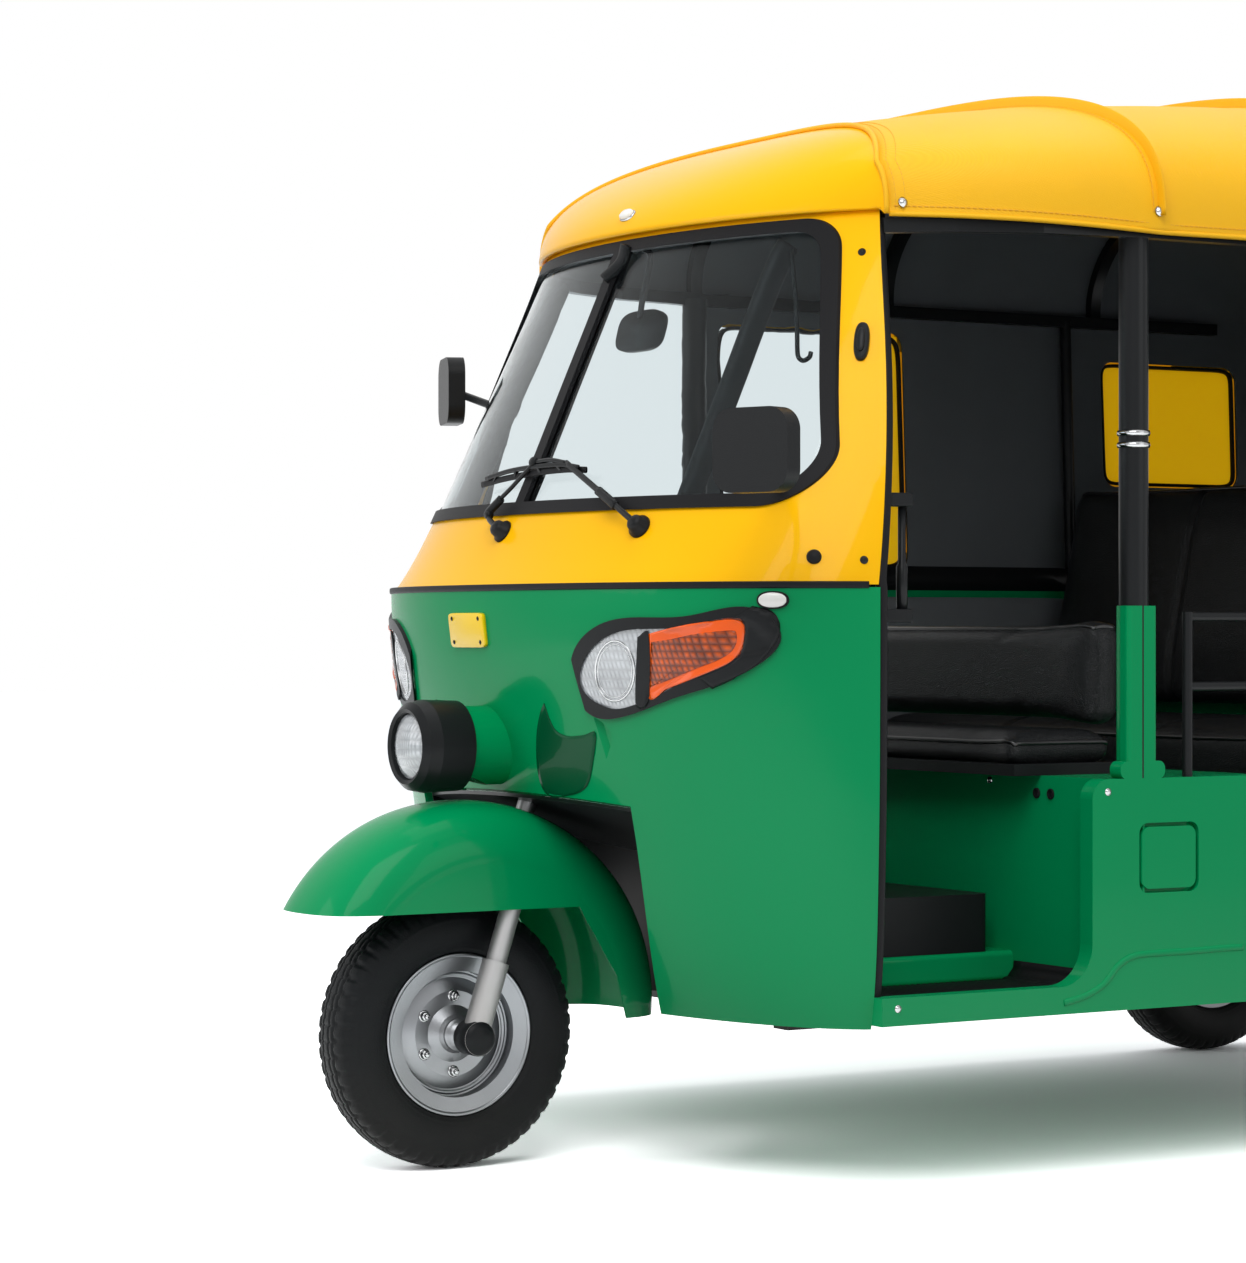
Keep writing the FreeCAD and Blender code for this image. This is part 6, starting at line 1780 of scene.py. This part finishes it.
@dataclass
class Lamps:
    """The amber covers of the corner lamps, their dark divider and the frames of the windscreen."""

    amber_edge: Rows = ((648.5, 634), (668, 628.5), (690, 624), (712, 621), (732, 619.5), (741, 621.5),
                        (744.5, 628), (743.5, 642), (739, 654), (729, 663), (712, 671), (690, 680), (668, 689),
                        (648.5, 697))
    window_edge: Rows = ((652, 642), (672, 639), (695, 634), (716, 631.5), (733, 630.5), (737, 634), (736.5, 643),
                         (731, 652), (718, 660), (700, 667), (676, 677), (655, 685), (651, 683))
    bar_edge: Rows = ((638.5, 637), (649.5, 634.5), (649.5, 697.5), (637, 703))

    def __post_init__(self) -> None:
        """Keeps the lamps' skin and the windscreen's."""
        self.skin = Sight(["lamp_clear", "lamp_amber", "lamp_bezels", "cab_lower"])
        self.screen = Sight(["windscreen", "screen_rubber"])

    def cover(self, name: str, edge: Pixels, lift: float, thick: float, finish: Finish) -> None:
        """A thin moulded cover on both lamps: rings from the outline in to its middle, laid on the skin.

        Each point is middle + (edge - middle) * ring, taken along the line of sight to the skin; the innermost
        ring is one point, merged into a pole.

        Args:
            name: the piece's name.
            edge: its outline in the picture.
            lift: how far off the skin its inner face lies.
            thick: its thickness.
            finish: its finish.
        """
        outline = curve(list(edge) + [edge[0]], 5)[:-1]
        points = self.skin.patch(outline.mean(axis=0), outline, (0.0, 0.25, 0.5, 0.75, 0.93, 1.0), lift)
        for side in Side:
            obj = surface(side.name_of(name), side.mirror(points), wrap_cols=True)
            dress(thickened(faced(obj, side.value * ACROSS), thick, 1.0), finish)

    def shutter(self) -> None:
        """The black rear end of each lamp: a band between two lines on the skin."""
        inner = curve([(735, 617.5), (742, 619.5), (745.5, 628), (744.5, 642), (740, 655), (731, 664.5),
                       (714, 672.5), (700, 678)], 5)
        outer = curve([(752, 607), (768, 609), (778, 618), (779, 634), (770, 650), (754, 666), (734, 678),
                       (712, 688)], 5)
        points = self.skin.patch(inner, outer, np.linspace(0.0, 1.0, 9), 0.0004)
        for side in Side:
            obj = surface(side.name_of("lamp_end"), side.mirror(points))
            dress(thickened(faced(obj, side.value * ACROSS), 0.0018, 1.0), FINISH.plastic)

    def frames(self) -> None:
        """The dark inner frame behind each corner of the windscreen, from its lower rubber to its upper one."""
        line = self.screen.line([(676, 494), (688, 462), (706, 415), (727, 360), (750, 300), (768, 255),
                                 (778, 236)], -0.030)
        for side in Side:
            path = curve(side.mirror(line), 6)
            dress(swept(side.name_of("screen_frame"), path, oval(0.0180, 0.0120, 3.2, 20)), FINISH.plastic)

    def build(self) -> None:
        """Builds the lamp covers and the windscreen's inner frames."""
        self.cover("amber_cover", self.amber_edge, 0.0003, 0.0016, FINISH.amber_rim)
        self.cover("amber_optic", self.window_edge, 0.0019, 0.0007, FINISH.amber)
        self.cover("lamp_divider", self.bar_edge, 0.0004, 0.0026, FINISH.plastic)
        self.shutter()
        self.frames()


@dataclass
class Mirrors:
    """The silvered glass of both door mirrors and the driver's inside mirror."""

    heads: tuple = (("mirror_glass_left", (0.724, 0.110, 1.078), math.radians(20.0)),
                    ("mirror_glass_right", (-0.724, 0.415, 1.255), math.radians(-20.0)))
    glass_outline = oval(0.056, 0.050, 4.5, 64)
    inside_place: tuple[float, ...] = (-0.07, 0.392, 1.315)
    stem_places: Rows = ((-0.06, 0.395, 1.37), (-0.045, 0.400, 1.432), (-0.045, 0.385, 1.446))

    def build(self) -> None:
        """Builds the glass on the rear face of each turned head, then the inside mirror on its stem."""
        for name, place, turn in self.heads:
            across = np.array([-math.cos(turn), -math.sin(turn), 0.0])
            middle = LAYOUT.point(*place) - 0.001 * np.cross(across, UP)
            dress(plate(name, middle, across, UP, self.glass_outline, 0.0022, 0.0006), FINISH.mirror)
        middle, up = LAYOUT.point(*self.inside_place), unit(np.array([0.0, 0.25, 1.0]))
        shell = plate("inside_mirror", middle, -ACROSS, up, oval(0.068, 0.034, 3.4, 56), 0.014, 0.005)
        dress(shell, FINISH.plastic)
        face = middle + 0.0135 * np.cross(-ACROSS, up)
        glass = plate("inside_mirror_glass", face, -ACROSS, up, oval(0.061, 0.028, 3.4, 56), 0.0015, 0.0004)
        dress(glass, FINISH.mirror)
        path = [middle + np.array([0.0, 0.002, 0.02])] + [LAYOUT.point(*place) for place in self.stem_places]
        dress(bar("inside_mirror_stem", path, 0.005, 14), FINISH.satin_black)


@dataclass
class SteeringTrim:
    """The fork's black knuckles, one on each side of the front hub."""

    def build(self) -> None:
        """Builds what turns with the handlebar."""
        for side in Side:
            profile = [(0.0725, 0.0), (0.0725, 0.0245), (0.0745, 0.0272), (0.1070, 0.0272), (0.1125, 0.0245),
                       (0.1160, 0.0170), (0.1170, 0.0)]
            cap = lathe(side.name_of("fork_knuckle"), profile, LAYOUT.point(0.0, 0.0, LAYOUT.tyre_radius),
                        side.value * ACROSS, 40)
            dress(cap, FINISH.plastic, Body.STEERING)


@dataclass
class Tail:
    """The hatch's louvres and latch, the rear plate and the reflectors."""

    face: float = 2.300
    seat: float = 0.001
    bank_middles: tuple[float, ...] = (-0.20, 0.20)
    bank_half: float = 0.135
    louvres_in_bank: int = 7
    louvre_top: float = 0.690
    louvre_pitch: float = 0.026
    louvre_rise: float = 0.014
    louvre_depth: float = 0.009
    louvre_wall: float = 0.0012
    reflector_x: float = 0.545
    reflector_z: float = 0.470
    reflector: Rows = ((0.0, 0.0), (0.0, 0.030), (0.006, 0.030), (0.0085, 0.027), (0.0075, 0.0255), (0.0095, 0.0))

    def louvres(self) -> None:
        """Two banks of pressed louvres: each is a quarter-round hood, closed at its ends."""
        xx, tt = np.meshgrid(np.linspace(-1.0, 1.0, 25), np.linspace(0.0, math.pi / 2, 9), indexing="ij")
        end = np.sqrt(np.clip(1 - np.abs(xx) ** 8, 0, 1))
        y = LAYOUT.along(self.face - 0.0002) + self.louvre_depth * np.sin(tt) * end
        for bank, middle in enumerate(self.bank_middles):
            parts = []
            for row in range(self.louvres_in_bank):
                z = self.louvre_top - self.louvre_pitch * row - self.louvre_rise * (1 - np.cos(tt))
                lip = surface("louvre", np.stack([middle + self.bank_half * xx, y, z], axis=-1))
                parts.append(applied(thickened(lip, self.louvre_wall, -1.0)))
            dress(joined("hatch_louvres_%d" % bank, parts), FINISH.green, Body.HATCH)

    def furniture(self) -> None:
        """The hatch's latch, the rear plate with its screws and the red reflectors."""
        for name, height, outline, thickness, edge, finish in (
                ("hatch_latch", 0.505, (0.034, 0.016, 4.0, 48), 0.012, 0.004, FINISH.plastic),
                ("rear_plate", 0.745, (0.100, 0.036, 14.0, 72), 0.004, 0.0012, FINISH.plate_yellow)):
            at = LAYOUT.point(0.0, self.face - self.seat, height)
            dress(plate(name, at, -ACROSS, UP, oval(*outline), thickness, edge), finish, Body.HATCH)
        screws = [screw("screw", LAYOUT.point(x, self.face + 0.003, z), BACK, 0.0030, 14) for x in (-0.084, 0.084)
                  for z in (0.724, 0.766)]
        dress(joined("rear_plate_screws", screws), FINISH.plastic, Body.HATCH)
        for side in Side:
            at = LAYOUT.point(self.reflector_x * side.value, self.face - self.seat, self.reflector_z)
            dress(lathe(side.name_of("reflector"), self.reflector, at, BACK, 40), FINISH.red)

    def build(self) -> None:
        """Builds the tail's details."""
        self.louvres()
        self.furniture()


HOOD = Hood()
ASSEMBLIES: list = [Seats(), HOOD, Cap(HOOD), Wheels(), Front(), Lamps(), Doorway(), Mirrors(), SteeringTrim(),
                    Tail()]


@dataclass
class Studio:
    """The pale floor, the soft lights and the camera at the photograph's place."""

    lens: float = 99.76
    fill_level: float = 0.45
    floor_grey: Colour = (0.42, 0.42, 0.42)
    floor_seen: Colour = (2.45, 2.45, 2.45)
    lamps: tuple = (("key", (3.2, -3.0, 4.6), (0.0, -0.3, 0.7), 3.4, 170.0),
                    ("front fill", (-1.6, -5.0, 2.2), (0.0, -0.8, 0.8), 3.0, 68.0),
                    ("side fill", (5.5, 1.6, 2.4), (0.2, 0.2, 0.8), 3.0, 45.0),
                    ("top", (0.0, 0.6, 5.0), (0.0, 0.2, 1.0), 4.0, 62.0))

    @staticmethod
    def seen_directly(graph: Graph) -> Socket:
        """One for what the camera sees itself, in a mirror or through glass, and nought for light."""
        path = graph.add("LightPath")
        direct = graph.maths("ADD", path.outputs["Is Camera Ray"], path.outputs["Is Transmission Ray"], clamp=True)
        return graph.maths("ADD", direct, path.outputs["Is Glossy Ray"], clamp=True)

    def floor(self) -> None:
        """The white floor: it shows the soft shadow and is otherwise as white as the background."""
        size = 40.0
        points = [(-size, -size, 0.0), (size, -size, 0.0), (size, size, 0.0), (-size, size, 0.0)]
        floor = make_object("studio_floor", np.array(points), [(0, 1, 2, 3)], smooth=False)
        material = bpy.data.materials.new("studio floor")
        material.use_nodes = True
        graph = Graph(material.node_tree)
        shader = material.node_tree.nodes["Principled BSDF"]
        colour = graph.mix(self.seen_directly(graph), rgba(self.floor_grey), rgba(self.floor_seen))
        material.node_tree.links.new(colour, shader.inputs["Base Color"])
        shader.inputs["Roughness"].default_value = 0.9
        shader.inputs["Specular IOR Level"].default_value = 0.0
        floor.data.materials.append(material)

    def background(self) -> None:
        """White where the camera, a mirror or the glass looks past the object; softer as a light."""
        world = bpy.data.worlds.new("studio")
        bpy.context.scene.world = world
        world.use_nodes = True
        tree = world.node_tree
        tree.nodes.clear()
        graph = Graph(tree)
        seen = graph.add("Background", {"Color": rgba((1.0, 1.0, 1.0)), "Strength": 1.0})
        light = graph.add("Background", {"Color": rgba((0.94, 0.97, 1.0)), "Strength": self.fill_level})
        mix = graph.add("MixShader", {0: self.seen_directly(graph), 1: light.outputs[0], 2: seen.outputs[0]})
        out = graph.add("OutputWorld")
        tree.links.new(mix.outputs[0], out.inputs[0])

    def lamp(self, name: str, place: tuple[float, float, float], aim: tuple[float, float, float], size: float,
             power: float) -> None:
        """A square area light at a place, turned to a point.

        Args:
            name: the light's name.
            place: its position.
            aim: the point that it faces.
            size: its side, in metres.
            power: its power, in watts.
        """
        data = bpy.data.lights.new(name, "AREA")
        data.shape, data.size, data.energy = "SQUARE", size, power
        lamp = bpy.data.objects.new(name, data)
        lamp.location = place
        lamp.rotation_euler = (Vector(place) - Vector(aim)).to_track_quat("Z", "Y").to_euler()
        bpy.context.scene.collection.objects.link(lamp)

    def camera(self) -> None:
        """The camera: level, a little below the belt line, with a long lens."""
        data = bpy.data.cameras.new("camera")
        data.lens, data.sensor_width, data.clip_end = self.lens, 36.0, 60.0
        camera = bpy.data.objects.new("camera", data)
        camera.location = CAMERA_PLACE
        camera.rotation_euler = (math.radians(90.0), 0.0, CAMERA_TURN)
        bpy.context.scene.collection.objects.link(camera)
        bpy.context.scene.camera = camera

    def build(self) -> None:
        """Sets up the whole studio."""
        self.floor()
        self.background()
        for lamp in self.lamps:
            self.lamp(*lamp)
        self.camera()
        scene = bpy.context.scene
        scene.view_settings.view_transform = "Standard"
        LOG.info("studio ready")


NODES_OF: dict[Finish, str] = {
    FINISH.satin_black: "chassis_frame wheel_arch head_tube side_guard rear_bumper hood_frame trailing_arms "
                        "dampers",
    FINISH.green: "floor_pan cab_lower side_left side_right fuel_flap driver_box passenger_box rear_deck "
                  "rear_panel rear_hatch front_fender",
    FINISH.yellow: "cab_upper roof_cap",
    FINISH.glass: "windscreen",
    FINISH.rubber: "screen_rubber",
    FINISH.plastic: "headlamp_bezel lamp_bezels mirror_left mirror_right dashboard floor_locker "
                    "driver_seat_base handlebar",
    FINISH.clear_lens: "headlamp_lens lamp_clear",
    FINISH.amber: "lamp_amber",
    FINISH.leather: "driver_cushion driver_bolster passenger_cushion passenger_backrest",
    FINISH.red: "tail_lamps",
    FINISH.lining: "hood_lining",
    FINISH.canvas: "hood_canvas",
    FINISH.cast: "engine",
    FINISH.steel: "silencer drive_shafts fork front_axle",
    FINISH.tyre: "front_tyre rear_tyre_left rear_tyre_right",
    FINISH.silver: "front_rim rear_rim_left rear_rim_right",
}


def main() -> None:
    """Dresses the whole vehicle and sets up the studio."""
    logging.basicConfig(level=logging.INFO, format="%(name)s: %(message)s")
    for finish, nodes in NODES_OF.items():
        for node in nodes.split():
            repaint(node, finish)
    for assembly in ASSEMBLIES:
        assembly.build()
        LOG.info("built %s", type(assembly).__name__)
    Studio().build()


if __name__ == "__main__":
    main()
